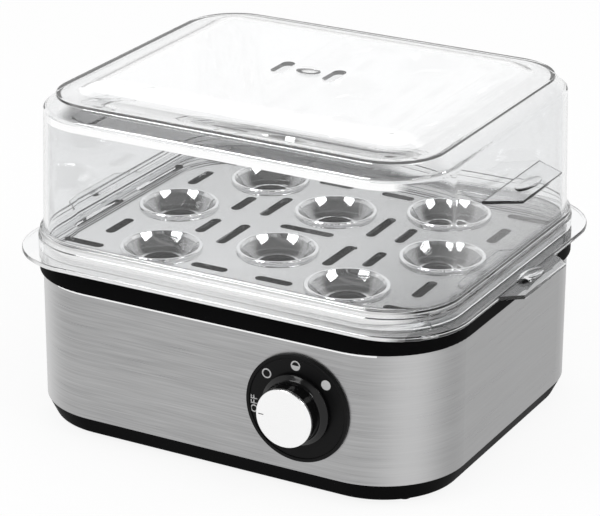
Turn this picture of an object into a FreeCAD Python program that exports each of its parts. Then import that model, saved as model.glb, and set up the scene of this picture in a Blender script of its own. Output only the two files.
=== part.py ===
import FreeCAD, Part
import math
import os

from FreeCAD import Vector

# Egg cooker in millimetres: X to the right along the front, Y to the back, Z up from the rubber feet.

# Casing
BODY_WIDTH = 230.0
BODY_DEPTH = 196.0
BODY_CORNER = 44.0
FOOT_HEIGHT = 2.0
FOOT_RADIUS = 8.0
FOOT_RECESS = 1.0
FOOT_INSET = 34.0
BASE_HEIGHT = 10.0
BASE_TAPER = 4.8
BASE_ROUND = 2.5
BASE_FLOOR = 2.5
FLOOR_CORNER = 8.0
BASE_WALL = 2.2
BASE_LIP_HEIGHT = 8.0
SLEEVE_HEIGHT = 67.8
SLEEVE_WALL = 0.8
SLEEVE_TUCK = 3.0
FIT_GAP = 0.2
TOUCH = 0.001
RIM_HEIGHT = 11.0
RIM_PROUD = 1.8
RIM_ROUND = 1.4
RIM_EDGE_ROUND = 0.5
RIM_LAND = 7.0
RIM_LEDGE = 6.0
RIM_LEDGE_DROP = 4.8
RIM_LEDGE_THICK = 3.0
RIM_LIP_HEIGHT = 7.0
RIM_LIP_WALL = 2.2

# Screw posts and their screws
POST_INSET = 8.4
POST_RADIUS = 3.4
SCREW_RADIUS = 1.4
SCREW_HEAD_RADIUS = 2.8
SCREW_HEAD_HEIGHT = 1.6
SCREW_GRIP = 12.0
BOSS_HEIGHT = 8.0

# Floor vents
FLOOR_VENT_COUNT = 9
FLOOR_VENT_LENGTH = 44.0
FLOOR_VENT_WIDTH = 3.0
FLOOR_VENT_PITCH = 8.0

# Water pan and heater
GASKET_THICK = 1.5
PAN_WALL = 1.2
PAN_FLANGE_GAP = 0.5
PAN_DEPTH = 30.0
PAN_DRAFT = 3.0
PAN_WALL_GAP = 1.0
PAN_LIP_BEND = 2.2
PAN_BEND = 6.0
PLATE_THICK = 3.0
ELEMENT_RADIUS = 54.0
ELEMENT_TUBE = 3.3
ELEMENT_GAP_ANGLE = 60.0
ELEMENT_BEND = 6.0
ELEMENT_LEG = 1.5
ELEMENT_PIN = 1.6
ELEMENT_PIN_LENGTH = 4.0
THERMOSTAT_RADIUS = 8.5
THERMOSTAT_HEIGHT = 9.0
THERMOSTAT_FLANGE = 12.0
FUSE_RADIUS = 2.2
FUSE_LENGTH = 16.0
FUSE_X = -30.0
FUSE_LEAD_RADIUS = 0.55
FUSE_LEAD_LENGTH = 7.0
CLIP_WALL = 0.8
CLIP_WIDTH = 6.0
CLIP_FOOT = 5.0
STUD_SPAN = 132.0
STUD_RADIUS = 2.0
STUD_EDGE = 8.0
STUD_LENGTH = 22.0
NUT_FLATS = 7.0
NUT_HEIGHT = 3.2
STRAP_WIDTH = 18.0
STRAP_THICK = 1.5
STRAP_DROP = 12.0
STRAP_INSET = 6.0
SHIELD_WIDTH = 150.0
SHIELD_THICK = 0.8
SHIELD_CORNER = 14.0

# Dial, knob and switch
DIAL_BELOW_MIDDLE = 0.4
BEZEL_RADIUS = 27.4
BEZEL_FLOOR = 1.4
BEZEL_EDGE_WIDTH = 2.0
BEZEL_EDGE_RISE = 0.6
BEZEL_ROUND = 0.3
KNOB_SKIRT_RADIUS = 18.0
KNOB_SKIRT_HEIGHT = 1.8
KNOB_SKIRT_ROUND = 0.6
KNOB_BODY_RADIUS = 15.0
KNOB_FLARE = 4.0
KNOB_FLARE_BEND = 2.5
KNOB_LENGTH = 11.2
KNOB_GAP = 0.6
KNOB_WALL = 2.0
KNOB_HUB_RADIUS = 6.0
CAP_RADIUS = 14.8
CAP_HEIGHT = 1.6
CAP_ROUND = 0.7
CAP_PEG_RADIUS = 4.0
CAP_PEG_LENGTH = 1.2
SHAFT_RADIUS = 3.0
SHAFT_FLAT = 1.0
SHAFT_PLAY = 0.05
SHAFT_IN_SWITCH = 9.0
SHAFT_IN_KNOB = 5.0
SPRING_WIRE = 0.7
BUSH_RADIUS = 4.6
BUSH_REACH = 3.4
BUSH_HOLE_GAP = 0.2
SWITCH_NUT_FLATS = 13.0
SWITCH_NUT_HEIGHT = 2.4
SWITCH_WIDTH = 32.0
SWITCH_HEIGHT = 30.0
SWITCH_DEPTH = 13.0
SWITCH_ROUND = 3.0
TAB_WIDTH = 6.3
TAB_THICK = 0.8
TAB_LENGTH = 7.0
BRACKET_WIDTH = 44.0
BRACKET_THICK = 1.5
BRACKET_FOOT = 18.0
BRACKET_TOP_GAP = 3.3
BRACKET_MARGIN = 0.2

# Mains side
GLAND_MARGIN = 2.0
GLAND_HEIGHT = 17.0
GLAND_RADIUS = 6.3
GLAND_FLANGE = 9.0
GLAND_FLANGE_THICK = 2.0
GLAND_COLLAR = 7.4
GLAND_COLLAR_LENGTH = 6.0
GLAND_BORE = 3.6
BLOCK_Y = 44.0
BLOCK_WIDTH = 34.0
BLOCK_DEPTH = 18.0
BLOCK_HEIGHT = 14.0
BLOCK_WAYS = 3
BLOCK_PITCH = 10.0
BLOCK_BORE = 2.2

# Egg tray
SEAT_GAP = 0.1
TRAY_OVERHANG = 6.0
TRAY_CORNER = 39.0
TRAY_THICK = 2.0
TRAY_EDGE_DROP = 0.3
TRAY_EDGE_WIDTH = 1.6
TRAY_EDGE_ROUND = 0.6
TRAY_RIB_DROP = 1.8
TRAY_RIB_WALL = 1.6
TRAY_RIB_GAP = 1.0
KERB_GAP = 1.0
KERB_WALL = 1.4
KERB_HEIGHT = 2.5
KERB_ROUND = 0.5
CUP_CENTRES = [(75.0, 0.0), (52.0, 55.0), (0.0, 30.0)]
CUP_RIM_RADIUS = 20.8
CUP_RIM_WIDTH = 1.8
CUP_RIM_RISE = 1.6
CUP_RIM_ROUND = 0.8
CUP_DEPTH = 8.0
CUP_HOLE_RADIUS = 9.5
CUP_WALL = 1.6
SLOT_WIDTH = 5.5
SIDE_SLOTS = [(105.0, 30.0, 44.0), (86.0, 40.0, 22.0), (47.0, 18.0, 21.0), (30.0, 22.0, 29.0)]
CROSS_SLOTS = [(90.0, 68.0, 24.0), (18.0, 66.0, 20.0), (0.0, 0.0, 30.0)]
TRAY_GRIP_ROOT = 33.0
TRAY_GRIP_TIP = 24.0
TRAY_GRIP_REACH = 10.0

# Lid
LID_SETBACK = 6.0
LID_CORNER = 38.7
LID_HEIGHT = 84.0
LID_WALL = 2.2
SKIRT_HEIGHT = 5.4
SKIRT_STEP = 0.8
SKIRT_TOP = 9.0
SKIRT_ROUND = 0.4
WALL_STEP = 2.7
WALL_STEP_ROUND = 0.8
WALL_DRAFT = 1.8
SHOULDER_RUN = 6.6
SHOULDER_RISE = 5.8
SHOULDER_ROUND = 2.5
PANEL_STEP = 1.2
PANEL_ROUND = 0.4
PANEL_BORDER = 9.6
PANEL_DROP = 5.3
PLATEAU_RUN = 12.0
PLATEAU_BEND = 20.0
PLATEAU_LAND = 4.3
VENT_SPACING = 28.8
VENT_LENGTH = 18.0
VENT_WIDTH = 6.6
DOT_LENGTH = 13.0
DOT_WIDTH = 9.0
DOT_RISE = 1.6
LID_GRIP_HEIGHT = 46.8
LID_GRIP_THICK = 3.0
LID_GRIP_ROOT = 34.0
LID_GRIP_TIP = 22.5
LID_GRIP_REACH = 17.5
GRIP_OVAL_LENGTH = 25.0
GRIP_OVAL_WIDTH = 10.0
GRIP_OVAL_RISE = 1.6
GRIP_OVAL_SETBACK = 8.0

# Levels and places worked out from the sizes above
Z_BASE = FOOT_HEIGHT
Z_SLEEVE = Z_BASE + BASE_HEIGHT
Z_RIM = Z_SLEEVE + SLEEVE_HEIGHT
Z_RIM_TOP = Z_RIM + RIM_HEIGHT
Z_LEDGE = Z_RIM_TOP - RIM_LEDGE_DROP
Z_LEDGE_UNDER = Z_LEDGE - RIM_LEDGE_THICK
Z_PAN_FLANGE = Z_LEDGE + GASKET_THICK
Z_PAN_FLOOR = Z_PAN_FLANGE - PAN_DEPTH
Z_PLATE = Z_PAN_FLOOR - PLATE_THICK
Z_STRAP = Z_PLATE - STRAP_DROP
Z_SHIELD = Z_STRAP - STRAP_THICK - NUT_HEIGHT
Z_DIAL = Z_SLEEVE + SLEEVE_HEIGHT / 2 - DIAL_BELOW_MIDDLE
Z_TRAY = Z_RIM_TOP + SEAT_GAP
Z_TRAY_TOP = Z_TRAY + TRAY_THICK
Z_LID = Z_TRAY_TOP + SEAT_GAP
Z_LID_TOP = Z_LID + LID_HEIGHT
FRONT = -BODY_DEPTH / 2
BACK = BODY_DEPTH / 2
BEZEL_FACE = FRONT - BEZEL_FLOOR
KNOB_BACK = BEZEL_FACE - KNOB_GAP
KNOB_FACE = KNOB_BACK - KNOB_LENGTH
CAP_FACE = KNOB_FACE - CAP_HEIGHT
SWITCH_FACE = FRONT + SLEEVE_WALL + BRACKET_THICK
BACK_REACH = BACK + TRAY_OVERHANG
ORIGIN_SHIFT = -(CAP_FACE + BACK_REACH) / 2
SIDE_FLAT = BODY_WIDTH / 2 - BODY_CORNER
DIAL_X = SIDE_FLAT - BRACKET_WIDTH / 2 - BRACKET_MARGIN
GLAND_X = GLAND_FLANGE + GLAND_MARGIN - SIDE_FLAT
BLOCK_X = GLAND_X
PLATE_RADIUS = STUD_SPAN / 2 + STUD_EDGE
SHIELD_DEPTH = STUD_SPAN + 2 * STUD_EDGE


def bent_wire(corners):
    """Closed wire through (point, radius) corners, with an arc at each corner that has a radius."""
    count = len(corners)
    ends = []
    edges = []
    for index, (point, radius) in enumerate(corners):
        if radius == 0:
            ends.append((point, point))
            continue
        back = (corners[index - 1][0] - point).normalize()
        ahead = (corners[(index + 1) % count][0] - point).normalize()
        half = back.getAngle(ahead) / 2
        reach = radius / math.tan(half)
        crown = point + (back + ahead).normalize() * (radius / math.sin(half) - radius)
        ends.append((point + back * reach, point + ahead * reach))
        edges.append(Part.Arc(ends[-1][0], crown, ends[-1][1]).toShape())
    for index in range(count):
        start = ends[index][1]
        stop = ends[(index + 1) % count][0]
        if start.distanceToPoint(stop) > TOUCH:
            edges.append(Part.makeLine(start, stop))
    return Part.Wire(Part.__sortEdges__(edges))


def profile_wire(profile, place):
    """Closed wire of (across, along) or (across, along, radius) corners, placed by a function."""
    corners = []
    for across, along, *radius in profile:
        corners.append((place(across, along), radius[0] if radius else 0))
    return bent_wire(corners)


class Outline:
    """Rounded rectangle that a casing piece follows."""

    def __init__(self, half_x, half_y, corner):
        self.half_x = half_x
        self.half_y = half_y
        self.corner = corner

    def inset(self, step):
        """Parallel outline, further in by step."""
        return Outline(self.half_x - step, self.half_y - step, self.corner - step)

    def plate(self, bottom, top):
        """Solid plate of this outline between two heights."""
        straight_x = self.half_x - self.corner
        straight_y = self.half_y - self.corner
        edges = []
        for quarter in range(4):
            start = math.pi / 2 * quarter
            side_x = 1 if quarter in (0, 3) else -1
            side_y = 1 if quarter in (0, 1) else -1
            centre = Vector(side_x * straight_x, side_y * straight_y, bottom)
            points = []
            for step in range(3):
                angle = start + math.pi / 4 * step
                points.append(centre + Vector(math.cos(angle), math.sin(angle), 0) * self.corner)
            edges.append(Part.Arc(*points).toShape())
        for first, second in zip(list(edges), edges[1:] + edges[:1]):
            edges.append(Part.makeLine(first.lastVertex().Point, second.firstVertex().Point))
        wire = Part.Wire(Part.__sortEdges__(edges))
        return Part.Face(wire).extrude(Vector(0, 0, top - bottom))

    def ring(self, profile):
        """Closed profile of (inset, height) corners carried once round the outline."""
        section = profile_wire(profile, lambda inset, height: Vector(self.half_x - inset, 0, height))
        run_x = 2 * (self.half_x - self.corner)
        run_y = 2 * (self.half_y - self.corner)
        faces = []
        place = Vector(0, -run_y / 2, 0)
        turn = 0.0
        for run in (run_y, run_x, run_y, run_x):
            along = Vector(-math.sin(math.radians(turn)), math.cos(math.radians(turn)), 0)
            inward = Vector(-math.cos(math.radians(turn)), -math.sin(math.radians(turn)), 0)
            wire = section.copy()
            wire.rotate(Vector(self.half_x, 0, 0), Vector(0, 0, 1), turn)
            wire.translate(place)
            faces += wire.extrude(along * run).Faces
            wire.translate(along * run)
            place = place + along * run
            pivot = Vector(self.half_x, 0, 0) + place + inward * self.corner
            faces += wire.revolve(pivot, Vector(0, 0, 1), 90).Faces
            place = place + inward * self.corner + along * self.corner
            turn += 90.0
        shell = Part.Shell(faces)
        shell.sewShape()
        solid = Part.Solid(shell)
        if solid.Volume < 0:
            solid.reverse()
        return solid


BODY = Outline(BODY_WIDTH / 2, BODY_DEPTH / 2, BODY_CORNER)
TRAY = Outline(BODY_WIDTH / 2 + TRAY_OVERHANG, BODY_DEPTH / 2 + TRAY_OVERHANG, TRAY_CORNER)
LID = Outline(TRAY.half_x - LID_SETBACK, TRAY.half_y - LID_SETBACK, LID_CORNER)


def fused(first, *others):
    """One solid from pieces that touch, with split faces joined."""
    return first.fuse(list(others)).removeSplitter()


def rod(radius, start, end):
    """Round bar between two points."""
    reach = end - start
    return Part.makeCylinder(radius, reach.Length, start, reach)


def block(low, high):
    """Box between two opposite corners."""
    size = high - low
    return Part.makeBox(size.x, size.y, size.z, low)


def turned(profile, centre, axis):
    """Solid of revolution from (radius, distance along axis) corners."""
    section = profile_wire(profile, lambda radius, along: Vector(radius, 0, along))
    solid = Part.Face(section).revolve(Vector(), Vector(0, 0, 1), 360)
    solid.Placement = FreeCAD.Placement(centre, FreeCAD.Rotation(Vector(0, 0, 1), axis))
    return solid


def prism(points, push):
    """Straight solid on a flat polygon."""
    return Part.Face(Part.makePolygon(points + points[:1])).extrude(push)


def stadium(x, y, length, width, bottom, top, along_x):
    """Upright slot with round ends, centred at x and y."""
    radius = width / 2
    reach = length / 2 - radius
    step = Vector(reach, 0, 0) if along_x else Vector(0, reach, 0)
    side = Vector(0, radius, 0) if along_x else Vector(radius, 0, 0)
    centre = Vector(x, y, bottom)
    rise = Vector(0, 0, top - bottom)
    corners = [centre + step + side, centre - step + side, centre - step - side, centre + step - side]
    bar = prism(corners, rise)
    ends = [Part.makeCylinder(radius, top - bottom, centre + way) for way in (step, step * -1)]
    return fused(bar, *ends)


def hex_nut(flats, bore, centre, axis, height):
    """Hexagon nut with its base at centre."""
    radius = flats / math.sqrt(3)
    points = []
    for corner in range(6):
        angle = math.radians(60 * corner)
        points.append(Vector(radius * math.cos(angle), radius * math.sin(angle), 0))
    nut = prism(points, Vector(0, 0, height))
    nut = nut.cut(Part.makeCylinder(bore, height))
    nut.Placement = FreeCAD.Placement(centre, FreeCAD.Rotation(Vector(0, 0, 1), axis))
    return nut


def four_ways(x, y):
    """The same place mirrored left to right and front to back."""
    places = []
    for side_x in (1, -1):
        for side_y in (1, -1):
            spot = (side_x * x, side_y * y)
            if spot not in places:
                places.append(spot)
    return places


def post_places():
    """Centres of the screw posts, on the diagonals of the casing's corners."""
    diagonal = (BODY.corner - POST_INSET) * math.sqrt(0.5)
    return four_ways(BODY.half_x - BODY.corner + diagonal, BODY.half_y - BODY.corner + diagonal)


def foot_places():
    """Centres of the rubber feet."""
    return four_ways(BODY.half_x - FOOT_INSET, BODY.half_y - FOOT_INSET)


def base_shell():
    """Tapered underpart with a locating lip, floor vents, bosses and foot recesses."""
    lip_out = SLEEVE_WALL + FIT_GAP
    lip_in = lip_out + BASE_WALL
    floor_top = Z_BASE + BASE_FLOOR
    lip_top = Z_SLEEVE + BASE_LIP_HEIGHT
    foot_in = BASE_TAPER + BASE_WALL
    middle = BODY.corner - FLOOR_CORNER
    wall = BODY.ring([
        (BASE_TAPER, Z_BASE, BASE_ROUND),
        (0, Z_SLEEVE),
        (lip_out, Z_SLEEVE),
        (lip_out, lip_top),
        (lip_in, lip_top),
        (lip_in, Z_SLEEVE),
        (foot_in, floor_top),
        (middle, floor_top),
        (middle, Z_BASE),
    ])
    shell = fused(wall, BODY.inset(middle).plate(Z_BASE, floor_top))
    bosses = []
    for x, y in post_places():
        bosses.append(rod(POST_RADIUS, Vector(x, y, Z_BASE), Vector(x, y, floor_top + BOSS_HEIGHT)))
    shell = fused(shell, *bosses)
    cuts = []
    for x, y in post_places():
        head_top = Z_BASE + SCREW_HEAD_HEIGHT + FIT_GAP
        cuts.append(rod(SCREW_HEAD_RADIUS + FIT_GAP, Vector(x, y, Z_BASE), Vector(x, y, head_top)))
        cuts.append(rod(SCREW_RADIUS, Vector(x, y, Z_BASE), Vector(x, y, floor_top + BOSS_HEIGHT)))
    for x, y in foot_places():
        cuts.append(rod(FOOT_RADIUS, Vector(x, y, Z_BASE), Vector(x, y, Z_BASE + FOOT_RECESS)))
    for index in range(FLOOR_VENT_COUNT):
        x = (index - (FLOOR_VENT_COUNT - 1) / 2) * FLOOR_VENT_PITCH
        cuts.append(stadium(x, 0, FLOOR_VENT_LENGTH, FLOOR_VENT_WIDTH, Z_BASE, floor_top, False))
    return shell.cut(cuts)


def steel_sleeve():
    """Thin steel band, tucked up into the rim, with the switch and gland holes."""
    top = Z_RIM + SLEEVE_TUCK
    sleeve = BODY.ring([(0, Z_SLEEVE), (0, top), (SLEEVE_WALL, top), (SLEEVE_WALL, Z_SLEEVE)])
    front_hole = dial_rod(BUSH_RADIUS + BUSH_HOLE_GAP, FRONT, FRONT + 2 * SLEEVE_WALL)
    back_hole = gland_rod(GLAND_RADIUS, BACK - 2 * SLEEVE_WALL, BACK)
    return sleeve.cut([front_hole, back_hole])


def top_rim():
    """Black frame with its sleeve groove, pan ledge and screw posts."""
    lip_out = SLEEVE_WALL + FIT_GAP
    lip_in = lip_out + RIM_LIP_WALL
    lip_bottom = Z_RIM - RIM_LIP_HEIGHT
    frame = BODY.ring([
        (-RIM_PROUD, Z_RIM, RIM_EDGE_ROUND),
        (-RIM_PROUD, Z_RIM_TOP, RIM_ROUND),
        (RIM_LAND, Z_RIM_TOP),
        (RIM_LAND, Z_LEDGE),
        (RIM_LAND + RIM_LEDGE, Z_LEDGE),
        (RIM_LAND + RIM_LEDGE, Z_LEDGE_UNDER),
        (lip_in, Z_LEDGE_UNDER),
        (lip_in, lip_bottom),
        (lip_out, lip_bottom),
        (lip_out, Z_RIM + SLEEVE_TUCK + FIT_GAP),
        (-FIT_GAP, Z_RIM + SLEEVE_TUCK + FIT_GAP),
        (-FIT_GAP, Z_RIM),
    ])
    boss_top = Z_BASE + BASE_FLOOR + BOSS_HEIGHT
    posts = []
    holes = []
    for x, y in post_places():
        posts.append(rod(POST_RADIUS, Vector(x, y, boss_top), Vector(x, y, Z_LEDGE)))
        holes.append(rod(SCREW_RADIUS, Vector(x, y, boss_top), Vector(x, y, boss_top + SCREW_GRIP)))
    return fused(frame, *posts).cut(holes)


def rubber_feet():
    """Round pads set in the base's recesses."""
    feet = []
    for x, y in foot_places():
        feet.append(rod(FOOT_RADIUS, Vector(x, y, 0), Vector(x, y, Z_BASE + FOOT_RECESS)))
    return Part.makeCompound(feet)


def base_screws():
    """Screws that pull the base up to the rim's posts."""
    tip = Z_BASE + BASE_FLOOR + BOSS_HEIGHT + SCREW_GRIP
    screws = []
    for x, y in post_places():
        foot = Vector(x, y, Z_BASE + FIT_GAP)
        head = rod(SCREW_HEAD_RADIUS, foot, foot + Vector(0, 0, SCREW_HEAD_HEIGHT))
        screws.append(fused(head, rod(SCREW_RADIUS, foot, Vector(x, y, tip))))
    return Part.makeCompound(screws)


def pan_wall_inset():
    """Inset of the pan's outer wall, just inside the rim's ledge."""
    return RIM_LAND + RIM_LEDGE + PAN_WALL_GAP


def water_pan():
    """Drawn pan whose flange lies on the gasket."""
    edge = RIM_LAND + PAN_FLANGE_GAP
    out = pan_wall_inset()
    top = Z_PAN_FLANGE + PAN_WALL
    floor_top = Z_PAN_FLOOR + PAN_WALL
    foot = out + PAN_DRAFT
    middle = foot + PAN_WALL + PAN_BEND
    ring = BODY.ring([
        (edge, Z_PAN_FLANGE),
        (edge, top),
        (out + PAN_WALL, top, PAN_LIP_BEND),
        (foot + PAN_WALL, floor_top, PAN_BEND - PAN_WALL),
        (middle, floor_top),
        (middle, Z_PAN_FLOOR),
        (foot, Z_PAN_FLOOR, PAN_BEND),
        (out, Z_PAN_FLANGE, PAN_LIP_BEND - PAN_WALL),
    ])
    return fused(ring, BODY.inset(middle).plate(Z_PAN_FLOOR, floor_top))


def pan_gasket():
    """Seal between the rim's ledge and the pan's flange."""
    edge = RIM_LAND + PAN_FLANGE_GAP
    inner = RIM_LAND + RIM_LEDGE
    return BODY.ring([(edge, Z_LEDGE), (edge, Z_PAN_FLANGE), (inner, Z_PAN_FLANGE), (inner, Z_LEDGE)])


def heater_plate():
    """Disc that spreads the heat under the pan's floor."""
    return rod(PLATE_RADIUS, Vector(0, 0, Z_PLATE), Vector(0, 0, Z_PAN_FLOOR))


def heating_element():
    """Tubular heater bent to an open ring, with its ends turned down to the pins."""
    height = Z_PLATE - ELEMENT_TUBE
    half_turn = 180 - ELEMENT_GAP_ANGLE / 2
    down = Vector(0, 0, -1)
    pieces = []
    for side in (1, -1):
        angle = math.radians(side * ELEMENT_GAP_ANGLE / 2)
        end = Vector(ELEMENT_RADIUS * math.cos(angle), ELEMENT_RADIUS * math.sin(angle), height)
        leaving = Vector(math.sin(angle), -math.cos(angle), 0) * side
        disc = Part.Face(Part.Wire(Part.makeCircle(ELEMENT_TUBE, end, leaving)))
        bend_end = end + (leaving + down) * ELEMENT_BEND
        leg_end = bend_end + down * ELEMENT_LEG
        pieces.append(disc.revolve(Vector(0, 0, height), Vector(0, 0, side), half_turn))
        pieces.append(disc.revolve(end + down * ELEMENT_BEND, leaving.cross(down), 90))
        pieces.append(rod(ELEMENT_TUBE, bend_end, leg_end))
        pieces.append(rod(ELEMENT_PIN, leg_end, leg_end + down * ELEMENT_PIN_LENGTH))
    return pieces[0].fuse(pieces[1:])


def thermostat():
    """Snap-disc thermostat with its flange and two blades."""
    bottom = Z_PLATE - THERMOSTAT_HEIGHT
    body = rod(THERMOSTAT_RADIUS, Vector(0, 0, bottom), Vector(0, 0, Z_PLATE))
    flange = rod(THERMOSTAT_FLANGE, Vector(0, 0, Z_PLATE - TAB_THICK), Vector(0, 0, Z_PLATE))
    reach = THERMOSTAT_RADIUS + TAB_LENGTH
    low = Vector(-reach, -TAB_WIDTH / 2, bottom)
    blades = block(low, low + Vector(2 * reach, TAB_WIDTH, TAB_THICK))
    return fused(body, flange, blades)


def thermal_fuse():
    """Cut-out fuse lying against the heater plate."""
    height = Z_PLATE - FUSE_RADIUS
    half = FUSE_LENGTH / 2
    ends = half + FUSE_LEAD_LENGTH
    body = rod(FUSE_RADIUS, Vector(FUSE_X, -half, height), Vector(FUSE_X, half, height))
    leads = rod(FUSE_LEAD_RADIUS, Vector(FUSE_X, -ends, height), Vector(FUSE_X, ends, height))
    return fused(body, leads)


def fuse_clip():
    """Spring strap that holds the fuse up to the plate."""
    inner = FUSE_RADIUS + FIT_GAP
    outer = inner + CLIP_WALL
    low = Z_PLATE - FUSE_RADIUS - outer
    half = CLIP_WIDTH / 2
    reach = outer + CLIP_FOOT
    body = block(Vector(FUSE_X - outer, -half, low), Vector(FUSE_X + outer, half, Z_PLATE))
    feet = block(Vector(FUSE_X - reach, -half, Z_PLATE - CLIP_WALL), Vector(FUSE_X + reach, half, Z_PLATE))
    channel = block(Vector(FUSE_X - inner, -half, low + CLIP_WALL), Vector(FUSE_X + inner, half, Z_PLATE))
    return fused(body, feet).cut(channel)


def stud_places():
    """Places of the two studs that hold the pan down."""
    return [(0.0, STUD_SPAN / 2), (0.0, -STUD_SPAN / 2)]


def pan_studs():
    """Studs welded under the heater plate."""
    studs = []
    for x, y in stud_places():
        studs.append(rod(STUD_RADIUS, Vector(x, y, Z_PLATE - STUD_LENGTH), Vector(x, y, Z_PLATE)))
    return Part.makeCompound(studs)


def clamp_bar():
    """Strap under the pan whose upturned ends bear on the rim's ledge."""
    half = STRAP_WIDTH / 2
    leg = BODY.half_y - STRAP_INSET
    under = Z_STRAP - STRAP_THICK
    flat = block(Vector(-half, -leg, under), Vector(half, leg, Z_STRAP))
    legs = []
    for side in (1, -1):
        y = side * leg
        near = y - side * STRAP_THICK
        legs.append(block(Vector(-half, min(y, near), under), Vector(half, max(y, near), Z_LEDGE_UNDER)))
    bar = fused(flat, *legs)
    holes = []
    for x, y in stud_places():
        holes.append(rod(STUD_RADIUS, Vector(x, y, under), Vector(x, y, Z_STRAP)))
    return bar.cut(holes)


def clamp_nuts():
    """Nuts on the studs, above and below the heat shield."""
    nuts = []
    for x, y in stud_places():
        for top in (Z_STRAP - STRAP_THICK, Z_SHIELD - SHIELD_THICK):
            centre = Vector(x, y, top - NUT_HEIGHT)
            nuts.append(hex_nut(NUT_FLATS, STUD_RADIUS, centre, Vector(0, 0, 1), NUT_HEIGHT))
    return Part.makeCompound(nuts)


def heat_shield():
    """Bright plate that keeps the heat off the base."""
    under = Z_SHIELD - SHIELD_THICK
    sheet = Outline(SHIELD_WIDTH / 2, SHIELD_DEPTH / 2, SHIELD_CORNER).plate(under, Z_SHIELD)
    holes = []
    for x, y in stud_places():
        holes.append(rod(STUD_RADIUS, Vector(x, y, under), Vector(x, y, Z_SHIELD)))
    return sheet.cut(holes)


def dial_rod(radius, start, end):
    """Round bar on the dial's axis between two depths."""
    return rod(radius, Vector(DIAL_X, start, Z_DIAL), Vector(DIAL_X, end, Z_DIAL))


def dial_turned(profile):
    """Turned piece on the dial's axis, from (radius, distance in front of the steel) points."""
    return turned(profile, Vector(DIAL_X, FRONT, Z_DIAL), Vector(0, -1, 0))


def dial_bezel():
    """Dial plate with a raised rounded edge."""
    edge = BEZEL_RADIUS - BEZEL_EDGE_WIDTH
    rim = BEZEL_FLOOR + BEZEL_EDGE_RISE
    hole = BUSH_RADIUS + BUSH_HOLE_GAP
    return dial_turned([
        (hole, 0),
        (BEZEL_RADIUS, 0),
        (BEZEL_RADIUS, rim, BEZEL_ROUND),
        (edge + BEZEL_ROUND, rim, BEZEL_ROUND),
        (edge, BEZEL_FLOOR),
        (hole, BEZEL_FLOOR),
    ])


def shaft_section(radius, start, end):
    """Bar with one flat, on the dial's axis."""
    flat_height = Z_DIAL + radius - SHAFT_FLAT
    bar = dial_rod(radius, start, end)
    away = block(
        Vector(DIAL_X - radius, min(start, end), flat_height),
        Vector(DIAL_X + radius, max(start, end), Z_DIAL + radius),
    )
    return bar.cut(away)


def knob():
    """Hollow knob: flared skirt, straight body and a hub on the shaft."""
    back = BEZEL_FLOOR + KNOB_GAP
    face = back + KNOB_LENGTH
    roof = face - KNOB_WALL
    shell = dial_turned([
        (KNOB_HUB_RADIUS, back + KNOB_FLARE),
        (KNOB_HUB_RADIUS, roof),
        (KNOB_BODY_RADIUS - KNOB_WALL, roof),
        (KNOB_BODY_RADIUS - KNOB_WALL, back + KNOB_FLARE),
        (KNOB_SKIRT_RADIUS - KNOB_WALL, back),
        (KNOB_SKIRT_RADIUS, back),
        (KNOB_SKIRT_RADIUS, back + KNOB_SKIRT_HEIGHT, KNOB_SKIRT_ROUND),
        (KNOB_BODY_RADIUS, back + KNOB_FLARE, KNOB_FLARE_BEND),
        (KNOB_BODY_RADIUS, face),
        (CAP_PEG_RADIUS, face),
        (CAP_PEG_RADIUS, face - CAP_PEG_LENGTH),
        (0, face - CAP_PEG_LENGTH),
        (0, back + KNOB_FLARE),
    ])
    return shell.cut(shaft_section(SHAFT_RADIUS, KNOB_BACK, KNOB_BACK - KNOB_FLARE - SHAFT_IN_KNOB))


def knob_cap():
    """Bright cap pegged into the knob's face."""
    face = BEZEL_FLOOR + KNOB_GAP + KNOB_LENGTH
    return dial_turned([
        (0, face - CAP_PEG_LENGTH),
        (CAP_PEG_RADIUS, face - CAP_PEG_LENGTH),
        (CAP_PEG_RADIUS, face),
        (CAP_RADIUS, face),
        (CAP_RADIUS, face + CAP_HEIGHT, CAP_ROUND),
        (0, face + CAP_HEIGHT),
    ])


def switch_shaft():
    """Flatted shaft from the switch to the knob."""
    knob_end = KNOB_BACK - KNOB_FLARE - SHAFT_IN_KNOB
    bush_end = FRONT - BEZEL_FLOOR - BUSH_REACH
    round_part = dial_rod(SHAFT_RADIUS, SWITCH_FACE + SHAFT_IN_SWITCH, bush_end)
    return fused(round_part, shaft_section(SHAFT_RADIUS, bush_end, knob_end))


def knob_spring():
    """Ring spring that grips the knob's hub."""
    depth = KNOB_BACK - KNOB_FLARE - SHAFT_IN_KNOB / 3
    centre = Vector(DIAL_X, depth, Z_DIAL)
    return Part.makeTorus(KNOB_HUB_RADIUS + SPRING_WIRE, SPRING_WIRE, centre, Vector(0, 1, 0))


def control_switch():
    """Rotary control: case, mounting bush and terminals."""
    half_x = SWITCH_WIDTH / 2
    half_z = SWITCH_HEIGHT / 2
    case = Outline(half_x, half_z, SWITCH_ROUND).plate(0, SWITCH_DEPTH)
    case.Placement = FreeCAD.Placement(
        Vector(DIAL_X, SWITCH_FACE + SWITCH_DEPTH, Z_DIAL), FreeCAD.Rotation(Vector(1, 0, 0), 90)
    )
    bush = dial_rod(BUSH_RADIUS, SWITCH_FACE, FRONT - BEZEL_FLOOR - BUSH_REACH)
    back = SWITCH_FACE + SWITCH_DEPTH
    tabs = []
    for side in (1, -1):
        x = DIAL_X + side * SWITCH_WIDTH / 4
        low = Vector(x - TAB_THICK / 2, back, Z_DIAL - TAB_WIDTH / 2)
        tabs.append(block(low, low + Vector(TAB_THICK, TAB_LENGTH, TAB_WIDTH)))
    shaft_end = SWITCH_FACE + SHAFT_IN_SWITCH + SHAFT_PLAY
    bore = dial_rod(SHAFT_RADIUS + SHAFT_PLAY, shaft_end, KNOB_FACE)
    return fused(case, bush, *tabs).cut(bore)


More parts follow.
